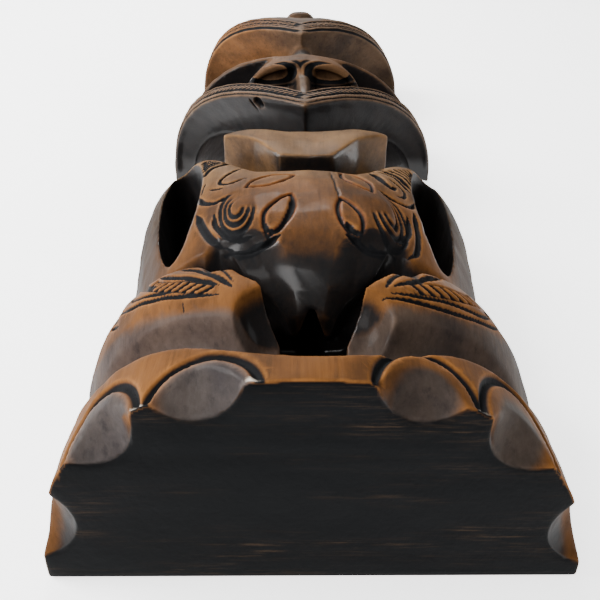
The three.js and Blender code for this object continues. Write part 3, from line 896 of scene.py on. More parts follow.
@dataclass
class Zones:
    """Where the figure is stained black, where its wood shows and where shade and sheen are painted, by place
    and form.
    """

    skin: Skin
    belly: Belly
    face: Face
    tones: WoodTones
    black: BlackParts = BlackParts()
    dull: DullParts = DullParts()
    left_knee: Knee = Knee(
        [(14, 25), (17.5, 26.6), (30, 30.8), (40, 34.4), (50, 36.4), (60, 37)], strength=0.72
    )
    right_knee: Knee = Knee(
        [(14, 27.6), (19.5, 29.8), (27.4, 31.9), (36, 34.6), (46, 39.2), (56, 44)], strength=0.8
    )
    knee_foot: float = 16.0
    knee_foot_rise: float = 5.0
    knee_foot_arcs: Point = (20, 40)
    knee_foot_edge: float = 3.0
    knee_top_edge: Point = (0.9, -0.9)
    knee_inner_edge: Point = (8, 10)
    ash_clearing: float = 0.8
    ash_stain: float = 0.32
    facets: Zone = Zone(spread=[(27, 22)])
    posts: Zone = Zone(
        along=[(70, 4, 2)], spread=[(36, 39)], reach=[(0.95, 0.75)], z=[(24, 30)], strength=0.8
    )
    crown: Zone = Zone(along=[(262, 274)], reach=[(0.5, 0.7)], strength=0.7)
    topknot: Zone = Zone(along=[(310, 314)], up=[(0.3, 0.7)], strength=0.8)
    chin: Zone = Zone(along=[(126, 16.5, 2)], spread=[(28.5, 26.5)], z=[(30, 34)], strength=0.92)
    chin_front: Zone = Zone(along=[(114, 9, 3)], down=[(0.3, 0.6)], z=[(28, 32)], spread=[(29, 28)])
    chin_front_dark: float = 0.42
    right_front_dark: float = 0.1
    most_front_dark: float = 0.8
    chin_middle: Zone = Zone(spread=[(13, 9)], strength=0.34)
    chin_corners: Zone = Zone(spread=[(21, 25)], strength=0.4)
    boss_wear: float = 0.85
    philtrum: Zone = Zone(along=[(200, 14, 3)], spread=[(3.4, 2.4)], z=[(40, 43)], strength=0.6)
    brow: Zone = Zone(along=[(250, 254)], z=[(6, 14)], strength=0.78)
    patch_size: float = 27.0
    tan_part: Zone = Zone(along=[(78, 104)])
    least_tan: float = 0.7
    brown_part: Zone = Zone(along=[(146, 152)])
    least_brown: float = 0.75
    warm_nose: Zone = Zone(along=[(214, 7, 3)], z=[(29, 33)], strength=0.3)
    warm_brow: Zone = Zone(along=[(228, 240)], strength=0.75)
    warm_middle: Point = (-30, 24)
    warm_squash: float = 1.2
    warm_edge: Point = (60, 20)
    least_light: float = 0.84
    light_range: float = 0.3
    # Painted shade on the right half of the brow's face, which faces away from the light.
    painted_shade_brow: Zone = Zone(along=[(225, 235)], x=[(-1, 1)], down=[(0.2, 0.5)], strength=0.3)
    # Painted shade: these two zones darken the outer arms and the billet's outer sides in the wood's colour.
    painted_shade_arms: Zone = Zone(arc=[(40, 50)], along=[(58, 66), (146, 140)], strength=0.74)
    sides: Zone = Zone(arc=[(54, 66)], strength=0.42)
    dull_mouth: Zone = Zone(along=[(132, 140)], z=[(6, 12)], down=[(0.2, 0.6)])
    mouth_dullness: Point = (0.72, 0.92)
    chip_arcs: Sequence[float] = (-33.4, -11.2, 31.4, -61)
    chip_rise: float = 1.2
    chip_stretch: Point = (0.8, 1.1)
    chip_fade: Point = (1.15, 0.5)
    chip_edge: Zone = Zone(reach=[(0.94, 0.97)], along=[(0.5, 1.0)])

    def stain(self) -> np.ndarray:
        """How black each point is, from 0 to 1, without the knife's own grooves."""
        s = self.skin
        parts = [s.within(zone) for zone in vars(self.black).values()]
        facets = ramp(0.0, 0.2, self.belly.beside(s)) * s.within(self.facets)
        stain = np.maximum.reduce([*parts, facets, s.shade])
        ash_sheen = self.ash_sheen()
        stain = np.maximum(stain * (1 - self.ash_clearing * ash_sheen), self.ash_stain * ash_sheen)
        stain *= 1 - s.within(self.crown)
        stain = np.maximum(stain, s.within(self.topknot))
        return self._clear(stain * (1 - s.within(self.posts)))

    def ash_sheen(self) -> np.ndarray:
        """Where the stain has worn to a grey-brown that also stands for a painted sheen: the toes' scoops and
        the fronts of the knees.
        """
        s = self.skin
        arcs = np.abs(s.arc)
        left, right = self.left_knee, self.right_knee
        top = np.where(s.x < 0, np.interp(arcs, *zip(*left.top)), np.interp(arcs, *zip(*right.top)))
        foot = self.knee_foot + self.knee_foot_rise * ramp(*self.knee_foot_arcs, arcs)
        front = ramp(*self.knee_top_edge, s.along - top) * ramp(foot - self.knee_foot_edge, foot, s.along)
        front *= ramp(*self.knee_inner_edge, arcs)
        return np.maximum(s.ash_sheen, np.where(s.x < 0, left.strength, right.strength) * front)

    def _clear(self, stain: np.ndarray) -> np.ndarray:
        """Clears the chin, the nose's bosses and the brow's broad face, and darkens the chin's front, a
        little more on its right half.
        """
        s = self.skin
        share, nose = self.face.boss(s)
        bosses = self.boss_wear * ramp(1.05, 0.95, share) * nose
        darkening = self.chin_front_dark + s.within(self.chin_middle) + s.within(self.chin_corners)
        darkening = np.minimum(darkening + self.right_front_dark * (s.x > 0), self.most_front_dark)
        stain = np.maximum(stain * (1 - s.within(self.chin)), darkening * s.within(self.chin_front))
        return stain * (1 - bosses) * (1 - s.within(self.philtrum)) * (1 - s.within(self.brow))

    def colour(self) -> np.ndarray:
        """The wood's own colour at each point."""
        s = self.skin
        patch = 0.5 + 0.5 * wander(s.x, s.along, self.patch_size, 1.3)
        x, z = self.warm_middle
        away = np.abs(s.x - x) + self.warm_squash * np.abs(s.z - z)
        tan_patch = self.least_tan + (1 - self.least_tan) * patch
        brown_patch = self.least_brown + (1 - self.least_brown) * patch
        colour = np.array(self.tones.orange)
        for tone, share in (
            (self.tones.tan, s.within(self.tan_part) * tan_patch),
            (self.tones.brown, s.within(self.brown_part) * brown_patch),
            (self.tones.orange, s.within(self.warm_nose)),
            (self.tones.orange, s.within(self.warm_brow) * ramp(*self.warm_edge, away)),
            (self.tones.fresh, s.fresh),
        ):
            colour = colour + (np.array(tone) - colour) * share[:, None]
        # Painted shade on the outer arms, the billet's sides and the right half of the brow's face, times the
        # wood's random light and dark patches.
        darkening = 1 - np.maximum(s.within(self.painted_shade_arms), s.within(self.sides))
        darkening *= (self.least_light + self.light_range * patch) * (1 - s.within(self.painted_shade_brow))
        # The grey of worn stain with a painted sheen, painted lighter on the lit left half than on the shaded
        # right.
        grey = np.where((s.x < 0)[:, None], self.tones.lit_ash_left, self.tones.shaded_ash_right)
        ash_sheen = self.ash_sheen()[:, None]
        return colour * darkening[:, None] * (1 - ash_sheen) + grey * ash_sheen

    def matte(self) -> np.ndarray:
        """Where the black is dull instead of polished."""
        s = self.skin
        parts = [s.within(zone) for zone in vars(self.dull).values()]
        mouth = s.within(self.dull_mouth) * np.where(s.x < 0, *self.mouth_dullness)
        return np.maximum.reduce([*parts, mouth, s.matte])

    def chips(self) -> np.ndarray:
        """The small pale chips between the toes."""
        s = self.skin
        total = np.zeros(len(s.x))
        for arc in self.chip_arcs:
            aside = (s.arc - arc) * self.chip_stretch[0]
            above = (s.along - self.chip_rise) * self.chip_stretch[1]
            total += ramp(*self.chip_fade, np.hypot(aside, above))
        return np.clip(total, 0, 1) * s.within(self.chip_edge)

class Nodes:
    """A tree of shader nodes that is being filled. Where a value is asked for, a socket may be given too."""

    def __init__(self, tree: bpy.types.NodeTree) -> None:
        """Keeps the tree."""
        self.tree = tree

    def add(self, kind: str, **values: object) -> bpy.types.Node:
        """A new node of a kind, with its properties set."""
        node = self.tree.nodes.new(kind)
        for name, value in values.items():
            setattr(node, name, value)
        return node

    def feed(self, value: object, socket: bpy.types.NodeSocket) -> None:
        """Gives a socket a link, a colour or a number."""
        if isinstance(value, bpy.types.NodeSocket):
            self.tree.links.new(value, socket)
        elif isinstance(value, tuple):
            socket.default_value = (*value, 1.0)
        else:
            socket.default_value = value

    def mix(self, share: object, first: object, second: object, blend: str = "MIX") -> bpy.types.NodeSocket:
        """A mix of two colours."""
        node = self.add("ShaderNodeMix", data_type="RGBA", blend_type=blend)
        colours = [socket for socket in node.inputs if socket.type == "RGBA"]
        self.feed(share, node.inputs[0])
        self.feed(first, colours[0])
        self.feed(second, colours[1])
        return next(socket for socket in node.outputs if socket.type == "RGBA")

    def maths(self, operation: str, *values: object, clamp: bool = True) -> bpy.types.NodeSocket:
        """The result of an operation on numbers, held between 0 and 1 unless clamp is off."""
        node = self.add("ShaderNodeMath", operation=operation, use_clamp=clamp)
        for value, socket in zip(values, node.inputs):
            self.feed(value, socket)
        return node.outputs[0]

    def spread(self, value: bpy.types.NodeSocket, low: float, high: float) -> bpy.types.NodeSocket:
        """Stretches the part of a value between low and high to run from 0 to 1."""
        node = self.add("ShaderNodeMapRange", interpolation_type="SMOOTHSTEP")
        self.feed(value, node.inputs["Value"])
        self.feed(low, node.inputs["From Min"])
        self.feed(high, node.inputs["From Max"])
        return node.outputs["Result"]

    def noise(
        self, scale: Triple, detail: float, roughness: float = 0.6, limits: Sequence[float] = ()
    ) -> bpy.types.NodeSocket:
        """Noise on object coordinates.

        Args:
            scale: How fine it is along X, Y and Z.
            detail: How many finer layers it has.
            roughness: How strong the finer layers are.
            limits: The part of its range that is stretched to run from 0 to 1.

        Returns:
            The socket that puts it out.
        """
        place = self.add("ShaderNodeTexCoord")
        mapping = self.add("ShaderNodeMapping")
        mapping.inputs["Scale"].default_value = scale
        noise = self.add("ShaderNodeTexNoise")
        self.feed(1.0, noise.inputs["Scale"])
        self.feed(detail, noise.inputs["Detail"])
        self.feed(roughness, noise.inputs["Roughness"])
        self.feed(place.outputs["Object"], mapping.inputs["Vector"])
        self.feed(mapping.outputs["Vector"], noise.inputs["Vector"])
        return self.spread(noise.outputs["Fac"], *limits) if limits else noise.outputs["Fac"]


class Group(Nodes):
    """A node group that takes and gives plain numbers."""

    def __init__(self, name: str, inputs: dict[str, float], outputs: Sequence[str]) -> None:
        """Starts a group with its inputs, which have default values, and its outputs."""
        super().__init__(bpy.data.node_groups.new(name, "ShaderNodeTree"))
        for label, value in inputs.items():
            socket = self.tree.interface.new_socket(label, in_out="INPUT", socket_type="NodeSocketFloat")
            socket.default_value = value
        for label in outputs:
            self.tree.interface.new_socket(label, in_out="OUTPUT", socket_type="NodeSocketFloat")
        self.given = self.add("NodeGroupInput").outputs
        self.result = self.add("NodeGroupOutput").inputs


class Finish(Nodes):
    """A material that is being made."""

    def __init__(self, name: str) -> None:
        """Starts an empty material of that name."""
        self.material = bpy.data.materials.new(name)
        self.material.use_nodes = True
        super().__init__(self.material.node_tree)
        self.shader = self.tree.nodes["Principled BSDF"].inputs

    def attribute(self, name: str, output: str = "Fac") -> bpy.types.NodeSocket:
        """The output of a node that reads one of the mesh's own attributes."""
        return self.add("ShaderNodeAttribute", attribute_name=name).outputs[output]

    def group(self, tree: bpy.types.NodeTree, **values: object) -> bpy.types.bpy_prop_collection:
        """Places a node group, gives its inputs their values and returns its outputs."""
        node = self.add("ShaderNodeGroup", node_tree=tree)
        for name, value in values.items():
            self.feed(value, node.inputs[name])
        return node.outputs


def grain_group() -> bpy.types.NodeTree:
    """Long fibres that run along the figure, as a shade and as a height."""
    group = Group("long grain", {"Strength": 1.0}, ("Shade", "Height"))
    fine = group.noise((900, 28, 900), detail=6, limits=(0.25, 0.75))
    broad = group.noise((150, 7, 150), detail=3, limits=(0.3, 0.7))
    both = group.maths("MULTIPLY", fine, 0.55)
    both = group.maths("ADD", both, group.maths("MULTIPLY", broad, 0.45))
    group.feed(group.maths("MULTIPLY", both, group.given["Strength"]), group.result["Shade"])
    group.feed(both, group.result["Height"])
    return group.tree


def stain_group() -> bpy.types.NodeTree:
    """Black stain with ragged edges, rubbed through in small streaks along the grain."""
    group = Group("ragged stain", {"Cover": 0.0, "Raggedness": 0.3}, ("Mask",))
    ragged = group.maths("SUBTRACT", group.noise((420, 160, 420), detail=7, roughness=0.7), 0.5, clamp=False)
    cover = group.maths(
        "MULTIPLY_ADD", ragged, group.given["Raggedness"], group.given["Cover"], clamp=False
    )
    group.feed(group.spread(cover, 0.1, 0.85), group.result["Mask"])
    return group.tree


def patina_group() -> bpy.types.NodeTree:
    """Old smoke and handling: soft dark blots, and darker fibres that run along the figure."""
    group = Group("old patina", {"Amount": 1.0}, ("Blots", "Fibres"))
    blots = group.noise((62, 40, 62), detail=6, roughness=0.62, limits=(0.38, 0.68))
    fibres = group.noise((520, 34, 520), detail=5, roughness=0.7, limits=(0.5, 0.75))
    group.feed(group.maths("MULTIPLY", blots, group.given["Amount"]), group.result["Blots"])
    group.feed(group.maths("MULTIPLY", fibres, group.given["Amount"]), group.result["Fibres"])
    return group.tree


def notch_group() -> bpy.types.NodeTree:
    """The black ground between a strip's notched lumps, from the place along the strip."""
    group = Group("notched strip", {"Place": 0.0, "Strip": 0.0}, ("Ground",))
    part = group.maths("PINGPONG", group.given["Place"], 0.5, clamp=False)
    within = group.spread(group.given["Strip"], 0.35, 0.65)
    group.feed(group.maths("MULTIPLY", group.spread(part, 0.2, 0.28), within), group.result["Ground"])
    return group.tree


def rub_group() -> bpy.types.NodeTree:
    """Patchy rubbing, for wear on ridges and for scuffs on gloss."""
    group = Group("patchy rub", {"Amount": 0.0, "Patchiness": 0.5}, ("Mask", "Patch"))
    patch = group.noise((230, 110, 230), detail=5, roughness=0.65, limits=(0.3, 0.7))
    bare = group.maths("SUBTRACT", 1.0, group.given["Patchiness"], clamp=False)
    kept = group.maths("MULTIPLY_ADD", patch, group.given["Patchiness"], bare, clamp=False)
    group.feed(group.maths("MULTIPLY", kept, group.given["Amount"]), group.result["Mask"])
    group.feed(patch, group.result["Patch"])
    return group.tree


def saw_group() -> bpy.types.NodeTree:
    """The fine level streaks that a saw leaves on end grain, with darker rings of growth."""
    group = Group("saw streaks", {"Amount": 1.0}, ("Streaks", "Rings"))
    fine = group.noise((80, 300, 1900), detail=8, roughness=0.75, limits=(0.5, 0.7))
    gather = group.noise((16, 30, 70), detail=3, limits=(0.42, 0.68))
    streaks = group.maths("MULTIPLY", fine, gather)
    group.feed(group.maths("MULTIPLY", streaks, group.given["Amount"]), group.result["Streaks"])
    group.feed(group.noise((7, 30, 190), detail=2, limits=(0.3, 0.7)), group.result["Rings"])
    return group.tree


@dataclass(frozen=True)
class StainedWood:
    """The finish of the whole figure: oiled wood, black in its cuts, rubbed on its ridges."""

    black: Colour = (0.0042, 0.0044, 0.005)
    half_black: Colour = (0.024, 0.014, 0.009)
    grain_tint: Colour = (0.35, 0.3, 0.26)
    blot: Colour = (0.24, 0.26, 0.34)
    end_dark: Colour = (0.0005, 0.0008, 0.0011)
    end_light: Colour = (0.0018, 0.0022, 0.0026)
    end_streak: Colour = (0.06, 0.035, 0.019)
    chip: Colour = (0.62, 0.55, 0.46)
    raggedness: float = 0.45
    patchiness: float = 0.75
    worn_gain: float = 0.85
    grain_share: float = 0.5
    blot_share: float = 0.72
    fibre_share: float = 0.5
    black_grain_share: float = 0.3
    rub_share: float = 0.7
    streak_share: float = 0.8
    groove_edge: Point = (0.15, 0.75)
    roughness_wood: float = 0.6
    roughness_black: float = 0.4
    roughness_scuffed: float = 0.62
    roughness_dull: float = 0.7
    scuff_share: float = 0.35
    polish_wood: float = 0.025
    polish_black: float = 0.5
    polish_roughness: float = 0.19
    bare_shine: float = 0.05
    grain_height: float = 0.22
    hammered_height: float = 0.16
    bump_strength: float = 0.5
    bump_distance: float = 0.0006

    def build(self) -> bpy.types.Material:
        """Makes the material."""
        wood = Finish("stained wood")
        grain = wood.group(grain_group())
        stain = wood.group(stain_group(), Cover=wood.attribute("stain"), Raggedness=self.raggedness)
        rub = wood.group(rub_group(), Amount=wood.attribute("wear"), Patchiness=self.patchiness)
        saw = wood.group(saw_group())
        patina = wood.group(patina_group())
        places = {"Place": wood.attribute("notch_place"), "Strip": wood.attribute("notch_strip")}
        notch = wood.group(notch_group(), **places)
        tone = wood.attribute("tone", "Color")
        groove = wood.spread(wood.attribute("groove"), *self.groove_edge)
        end = wood.attribute("sawn_end")

        colour = tone
        for mask, share, tint in (
            (grain["Shade"], self.grain_share, self.grain_tint),
            (patina["Blots"], self.blot_share, self.blot),
            (patina["Fibres"], self.fibre_share, self.blot),
        ):
            colour = wood.mix(wood.maths("MULTIPLY", mask, share), colour, tint, "MULTIPLY")
        black_grain = wood.maths("MULTIPLY", grain["Shade"], self.black_grain_share)
        colour = wood.mix(stain["Mask"], colour, wood.mix(black_grain, self.black, self.half_black))
        worn = wood.mix(self.worn_gain, tone, tone, "ADD")
        colour = wood.mix(wood.maths("MULTIPLY", rub["Mask"], self.rub_share), colour, worn)
        colour = wood.mix(groove, colour, self.black)
        colour = wood.mix(notch["Ground"], colour, self.black)
        sawn = wood.mix(saw["Rings"], self.end_dark, self.end_light)
        sawn = wood.mix(wood.maths("MULTIPLY", saw["Streaks"], self.streak_share), sawn, self.end_streak)
        colour = wood.mix(end, colour, sawn)
        wood.feed(wood.mix(wood.attribute("chip"), colour, self.chip), wood.shader["Base Color"])

        dull = wood.maths("MAXIMUM", wood.maths("MAXIMUM", end, groove), wood.attribute("matte"))
        self._gloss(wood, stain["Mask"], rub["Patch"], dull)
        self._bump(wood, grain["Height"])
        return wood.material

    def _gloss(
        self,
        wood: Finish,
        black: bpy.types.NodeSocket,
        patch: bpy.types.NodeSocket,
        dull: bpy.types.NodeSocket,
    ) -> None:
        """Sets the roughness and the coat of polish.

        Args:
            wood: The material.
            black: Where the wood is stained black.
            patch: Where its gloss is scuffed.
            dull: Where it has no gloss.
        """
        rough = wood.mix(black, (self.roughness_wood,) * 3, (self.roughness_black,) * 3)
        scuffed = wood.maths("MULTIPLY", patch, self.scuff_share)
        rough = wood.mix(scuffed, rough, (self.roughness_scuffed,) * 3)
        rough = wood.mix(dull, rough, (self.roughness_dull,) * 3)
        polish = wood.maths("ADD", wood.maths("MULTIPLY", black, self.polish_black), self.polish_wood)
        coat = wood.maths("MULTIPLY", polish, wood.maths("SUBTRACT", 1.0, dull))
        wood.feed(rough, wood.shader["Roughness"])
        wood.feed(coat, wood.shader["Coat Weight"])
        wood.feed(self.polish_roughness, wood.shader["Coat Roughness"])
        wood.feed(self.bare_shine, wood.shader["Specular IOR Level"])

    def _bump(self, wood: Finish, grain: bpy.types.NodeSocket) -> None:
        """Raises the grain and leaves the knife's small facets."""
        tool = wood.noise((130, 60, 130), detail=2, roughness=0.4)
        hammered = wood.noise((900, 620, 900), detail=3, roughness=0.6)
        height = wood.maths("ADD", wood.maths("MULTIPLY", grain, self.grain_height), tool)
        height = wood.maths("ADD", height, wood.maths("MULTIPLY", hammered, self.hammered_height))
        bump = wood.add("ShaderNodeBump")
        wood.feed(self.bump_strength, bump.inputs["Strength"])
        wood.feed(self.bump_distance, bump.inputs["Distance"])
        wood.feed(height, bump.inputs["Height"])
        wood.feed(bump.outputs["Normal"], wood.shader["Normal"])


@dataclass(frozen=True)
class Wear:
    """How ridges are rubbed and creases darkened, from how far the skin stands out from a smoother one."""

    fine_steps: int = 8
    broad_steps: int = 30
    fine_edge: Point = (0.03, 0.16)
    broad_edge: Point = (0.15, 0.6)
    crease_edge: Point = (0.08, 0.3)
    fine_share: float = 0.7
    broad_share: float = 0.4
    crease_share: float = 0.35
    black_edge: Point = (0.6, 1.0)
    black_share: float = 0.7
    end_place: Point = (0.6, 0.2)
    end_facing: Point = (0.75, 0.9)


@dataclass
class Figure:
    """The carved figure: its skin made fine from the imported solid, then carved and finished."""

    billet: Billet = Billet()
    toes: Toes = Toes()
    knees: Knees = Knees()
    hands: Hands = Hands()
    belly: Belly = Belly()
    bands: FaceBands = FaceBands()
    face: Face = Face()
    tones: WoodTones = WoodTones()
    finish: StainedWood = StainedWood()
    wear: Wear = Wear()
    voxel: float = 0.48
    most_triangles: int = 196_000
    round_steps: int = 8
    even_steps: int = 16
    edge_softness: float = 0.42
    still: Point = (0.16, 0.06)
    seam: Zone = Zone(along=[(77, 23, 4)], spread=[(23, 4.5, 3)], z=[(30, 36)], strength=0.9)
    shins: Zone = Zone(along=[(44, 40), (8, 12)], spread=[(14, 9, 2)], z=[(6, 10)], strength=0.9)
    ripple_depth: float = 0.14
    ripple_size: float = 9.0
    cut_limits: Zone = Zone(z=[(0.5, 1.5)], along=[(0.4, 1.4)])
    busy_margin: int = 2

    def build(self) -> bpy.types.Object:
        """Makes the piece and dresses it."""
        piece = self._fine_copy()
        mesh = piece.data
        before, _ = self._read(mesh)
        ends = mesh_edges(mesh)
        points = even_out(before, ends, self.round_steps)
        moved = np.linalg.norm(points - before, axis=1)
        calm = np.maximum(ramp(*self.still, moved), self._soft_places(points))
        self._write(mesh, even_out(points, ends, self.even_steps, calm))
        points, normals = self._read(mesh)
        skin = Skin(points, normals, self.billet)
        for part in (self.toes, self.knees, self.hands, self.belly, self.bands, self.face):
            part.carve(skin)
            LOG.info("%s carved", type(part).__name__)
        ripple = self.ripple_depth * (1 + wander(skin.x + skin.z, skin.along, self.ripple_size, 0.4))
        depth = (skin.depth + ripple) * skin.within(self.cut_limits)
        carved = points - normals * depth[:, None]
        self._write(mesh, carved)
        self._paint(mesh, skin, carved, ends)
        self._thin(piece, spread_out(skin.busy, ends, self.busy_margin))
        for polygon in piece.data.polygons:
            polygon.use_smooth = True
        piece.data.materials.clear()
        piece.data.materials.append(self.finish.build())
        return piece

    def _soft_places(self, points: np.ndarray) -> np.ndarray:
        """How much each edge may still be rounded: little, but a lot where the belly runs into the torso."""
        measures = {"spread": np.abs(points[:, 0]), "along": points[:, 1], "z": points[:, 2]}
        soft = np.maximum(self.seam.over(measures), self.shins.over(measures))
        return np.maximum(soft, self.edge_softness)

    def _fine_copy(self) -> bpy.types.Object:
        """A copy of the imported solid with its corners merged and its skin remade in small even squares."""
        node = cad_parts[NODE]
        mesh = node.data.copy()
        shell = bmesh.new()
        shell.from_mesh(mesh)
        bmesh.ops.remove_doubles(shell, verts=shell.verts, dist=1e-6)
        shell.to_mesh(mesh)
        shell.free()
        piece = bpy.data.objects.new("carved_figure", mesh)
        bpy.context.scene.collection.objects.link(piece)
        remesh = piece.modifiers.new("fine skin", "REMESH")
        remesh.mode = "VOXEL"
        remesh.voxel_size = self.voxel * MILLIMETRE
        apply_modifiers(piece)
        LOG.info("fine skin has %d points", len(piece.data.vertices))
        return piece

    def _thin(self, piece: bpy.types.Object, busy: np.ndarray) -> None:
        """Takes triangles out of the calm stretches until the piece is light enough.

        Args:
            piece: The piece.
            busy: 1 for each point near a cut, whose triangles all stay.
        """
        count = sum(len(polygon.vertices) - 2 for polygon in piece.data.polygons)
        calm = piece.vertex_groups.new(name="calm")
        calm.add(np.flatnonzero(busy < 0.5).tolist(), 1.0, "REPLACE")
        LOG.info("%d of %d points are near a cut", int((busy >= 0.5).sum()), len(busy))
        thin = piece.modifiers.new("thin", "DECIMATE")
        thin.vertex_group = calm.name
        thin.vertex_group_factor = 1.0
        thin.ratio = min(1.0, self.most_triangles / count)
        apply_modifiers(piece)
        LOG.info("figure has %d faces", len(piece.data.polygons))

    def _read(self, mesh: bpy.types.Mesh) -> tuple[np.ndarray, np.ndarray]:
        """The mesh's points, in millimetres from the feet, and its normals."""
        places = np.empty(len(mesh.vertices) * 3, dtype=np.float32)
        mesh.vertices.foreach_get("co", places)
        normals = np.empty_like(places)
        mesh.vertices.foreach_get("normal", normals)
        points = places.reshape(-1, 3).astype(float) / MILLIMETRE
        points[:, 1] -= CAD_BOX[0][1] / MILLIMETRE
        return points, normals.reshape(-1, 3).astype(float)

    def _write(self, mesh: bpy.types.Mesh, points: np.ndarray) -> None:
        """Puts points back into the mesh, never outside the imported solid's box."""
        places = points * MILLIMETRE
        places[:, 1] += CAD_BOX[0][1]
        places = np.clip(places, np.array(CAD_BOX[0]), np.array(CAD_BOX[1]))
        mesh.vertices.foreach_set("co", places.astype(np.float32).ravel())
        mesh.update()

    def _paint(self, mesh: bpy.types.Mesh, skin: Skin, carved: np.ndarray, ends: np.ndarray) -> None:
        """Writes the attributes that the finish reads."""
        zones = Zones(skin, self.belly, self.face, self.tones)
        wear = self.wear
        _, normals = self._read(mesh)
        fine = np.einsum("ij,ij->i", carved - even_out(carved, ends, wear.fine_steps), normals)
        broad = np.einsum("ij,ij->i", carved - even_out(carved, ends, wear.broad_steps), normals)
        sawn = ramp(*wear.end_place, carved[:, 1]) * ramp(*wear.end_facing, -normals[:, 1])
        stain = zones.stain()
        crease = wear.crease_share * ramp(*wear.crease_edge, -fine)
        groove = np.clip(skin.groove + crease, 0, 1) * (1 - sawn)
        rubbed = wear.fine_share * ramp(*wear.fine_edge, fine)
        rubbed = rubbed + wear.broad_share * ramp(*wear.broad_edge, broad)
        rubbed = np.maximum(rubbed, skin.proud) * (1 - wear.black_share * ramp(*wear.black_edge, stain))
        floats = {
            "stain": stain,
            "groove": groove,
            "wear": rubbed * (1 - groove) * (1 - sawn),
            "sawn_end": sawn,
            "chip": zones.chips(),
            "matte": zones.matte(),
            "notch_place": skin.notch_place,
            "notch_strip": skin.notch_strip,
        }
        for name, values in floats.items():
            layer = mesh.attributes.new(name, "FLOAT", "POINT")
            layer.data.foreach_set("value", values.astype(np.float32))
        colour = np.concatenate([zones.colour(), np.ones((len(carved), 1))], 1)
        layer = mesh.attributes.new("tone", "FLOAT_COLOR", "POINT")
        layer.data.foreach_set("color", colour.astype(np.float32).ravel())


def mesh_edges(mesh: bpy.types.Mesh) -> np.ndarray:
    """The two ends of each of the mesh's edges, one row each."""
    ends = np.empty(len(mesh.edges) * 2, dtype=np.int32)
    mesh.edges.foreach_get("vertices", ends)
    return ends.reshape(-1, 2)


def even_out(
    points: np.ndarray, ends: np.ndarray, steps: int, weight: float | np.ndarray = 1.0
) -> np.ndarray:
    """Moves each point towards the middle of its neighbours.

    Args:
        points: The points.
        ends: The two ends of each edge.
        steps: How often.
        weight: How much each point takes part, from 0 to 1.

    Returns:
        The new points.
    """
    first, second = ends.T
    count = len(points)
    links = np.bincount(first, minlength=count) + np.bincount(second, minlength=count)
    share = (0.5 * weight / np.maximum(links, 1))[:, None]
    for _ in range(steps):
        total = np.empty_like(points)
        for axis in range(3):
            value = points[:, axis]
            one_way = np.bincount(first, value[second], count)
            total[:, axis] = one_way + np.bincount(second, value[first], count)
        points = points + share * (total - points * links[:, None])
    return points


def spread_out(marks: np.ndarray, ends: np.ndarray, steps: int) -> np.ndarray:
    """Spreads marks of 1 to neighbouring points, a few edges far."""
    first, second = ends.T
    marks = marks.copy()
    for _ in range(steps):
        wider = marks.copy()
        np.maximum.at(wider, first, marks[second])
        np.maximum.at(wider, second, marks[first])
        marks = wider
    return marks


def apply_modifiers(piece: bpy.types.Object) -> None:
    """Bakes the piece's modifiers into its mesh."""
    graph = bpy.context.evaluated_depsgraph_get()
    graph.update()
    baked = bpy.data.meshes.new_from_object(piece.evaluated_get(graph), depsgraph=graph)
    old = piece.data
    piece.modifiers.clear()
    piece.data = baked
    bpy.data.meshes.remove(old)


@dataclass(frozen=True)
class Lamp:
    """A square soft light: its name, place in metres, side and power in watts."""

    name: str
    place: Triple
    size: float
    power: float


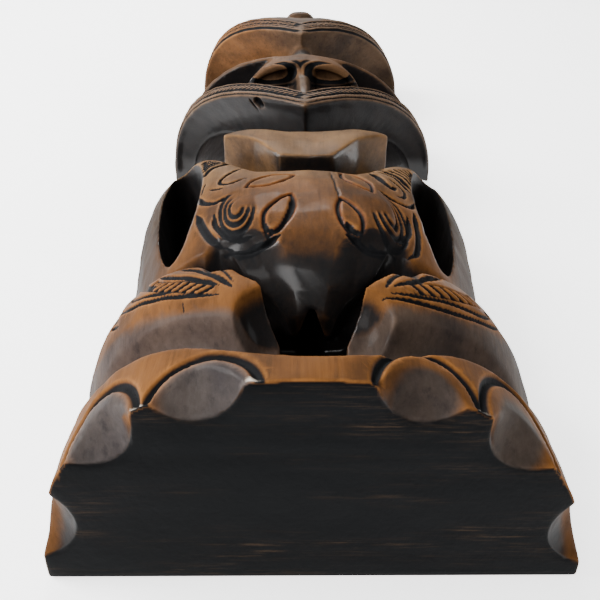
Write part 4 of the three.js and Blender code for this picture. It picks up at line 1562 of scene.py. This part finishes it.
@dataclass
class Studio:
    """A pale floor, soft light and the camera, which looks up the figure from its feet."""

    camera_place: Triple = (-4.466, -101.934, 132.995)
    pitch: float = 32.433
    yaw: float = 0.719
    roll: float = 0.392
    lens: float = 45.6
    clip: Point = (0.005, 30)
    floor_size: float = 8.0
    floor_drop: float = 0.0002
    floor_roughness: float = 0.9
    floor_tints: tuple[Colour, Colour] = ((0.94, 0.94, 0.94), (0.97, 0.97, 0.97))
    floor_glow: float = 2.2
    surround: float = 0.38
    white: tuple[float, ...] = (1, 1, 1, 1)
    target: Triple = (0, 0, 0.03)
    lamps: Sequence[Lamp] = (
        Lamp("left window", (-0.62, 0.0, 0.55), 0.45, 17),
        Lamp("right fill", (0.8, 0.0, 0.5), 0.4, 1.4),
        Lamp("head light", (-0.15, 0.7, 0.55), 0.45, 8),
        Lamp("front fill", (-0.35, -0.8, 0.6), 0.5, 5),
    )

    def build(self) -> None:
        """Makes the studio round the figure."""
        self._floor()
        for lamp in self.lamps:
            self._light(lamp)
        self._world()
        self._camera()

    def _floor(self) -> None:
        """A plane that reaches past every view, with a little unevenness in its paint."""
        shell = bmesh.new()
        bmesh.ops.create_grid(shell, x_segments=1, y_segments=1, size=self.floor_size)
        mesh = bpy.data.meshes.new("floor")
        shell.to_mesh(mesh)
        shell.free()
        floor = bpy.data.objects.new("floor", mesh)
        bpy.context.scene.collection.objects.link(floor)
        mesh.transform(Matrix.Translation((0, 0, CAD_BOX[0][2] - self.floor_drop)))
        paint = Finish("pale floor")
        tint = paint.noise((3, 3, 3), detail=3, limits=(0.2, 0.8))
        paint.feed(paint.mix(tint, *self.floor_tints), paint.shader["Base Color"])
        paint.feed(self.floor_roughness, paint.shader["Roughness"])
        paint.shader["Emission Color"].default_value = self.white
        paint.feed(self.floor_glow, paint.shader["Emission Strength"])
        mesh.materials.append(paint.material)

    def _light(self, lamp: Lamp) -> None:
        """Hangs a lamp that looks at the figure."""
        light = bpy.data.lights.new(lamp.name, "AREA")
        light.size = lamp.size
        light.energy = lamp.power
        place = Vector(lamp.place)
        holder = bpy.data.objects.new(lamp.name, light)
        holder.location = place
        holder.rotation_euler = (Vector(self.target) - place).to_track_quat("-Z", "Y").to_euler()
        bpy.context.scene.collection.objects.link(holder)

    def _world(self) -> None:
        """An even pale surround."""
        world = bpy.data.worlds.new("surround")
        world.use_nodes = True
        background = world.node_tree.nodes["Background"].inputs
        background["Color"].default_value = self.white
        background["Strength"].default_value = self.surround
        bpy.context.scene.world = world

    def _camera(self) -> None:
        """The camera at the photograph's viewing angle."""
        pitch, yaw, roll = (math.radians(v) for v in (self.pitch, self.yaw, self.roll))
        ahead = Vector((math.sin(yaw) * math.cos(pitch), math.cos(yaw) * math.cos(pitch), -math.sin(pitch)))
        right = Vector((math.cos(yaw), -math.sin(yaw), 0))
        up = right.cross(ahead)
        across = math.cos(roll) * right + math.sin(roll) * up
        upright = math.cos(roll) * up - math.sin(roll) * right
        place = Vector(self.camera_place) * MILLIMETRE + Vector((0, CAD_BOX[0][1], 0))
        data = bpy.data.cameras.new("camera")
        data.lens = self.lens
        data.clip_start, data.clip_end = self.clip
        camera = bpy.data.objects.new("camera", data)
        turned = Matrix((across, upright, -ahead)).transposed().to_4x4()
        camera.matrix_world = Matrix.Translation(place) @ turned
        bpy.context.scene.collection.objects.link(camera)
        bpy.context.scene.camera = camera


def main() -> None:
    """Builds the figure and the studio."""
    logging.basicConfig(level=logging.INFO, format="%(name)s: %(message)s")
    piece = Figure().build()
    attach(piece, "root")
    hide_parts(NODE)
    LOG.info("%s built", piece.name)
    Studio().build()


if __name__ == "__main__":
    main()
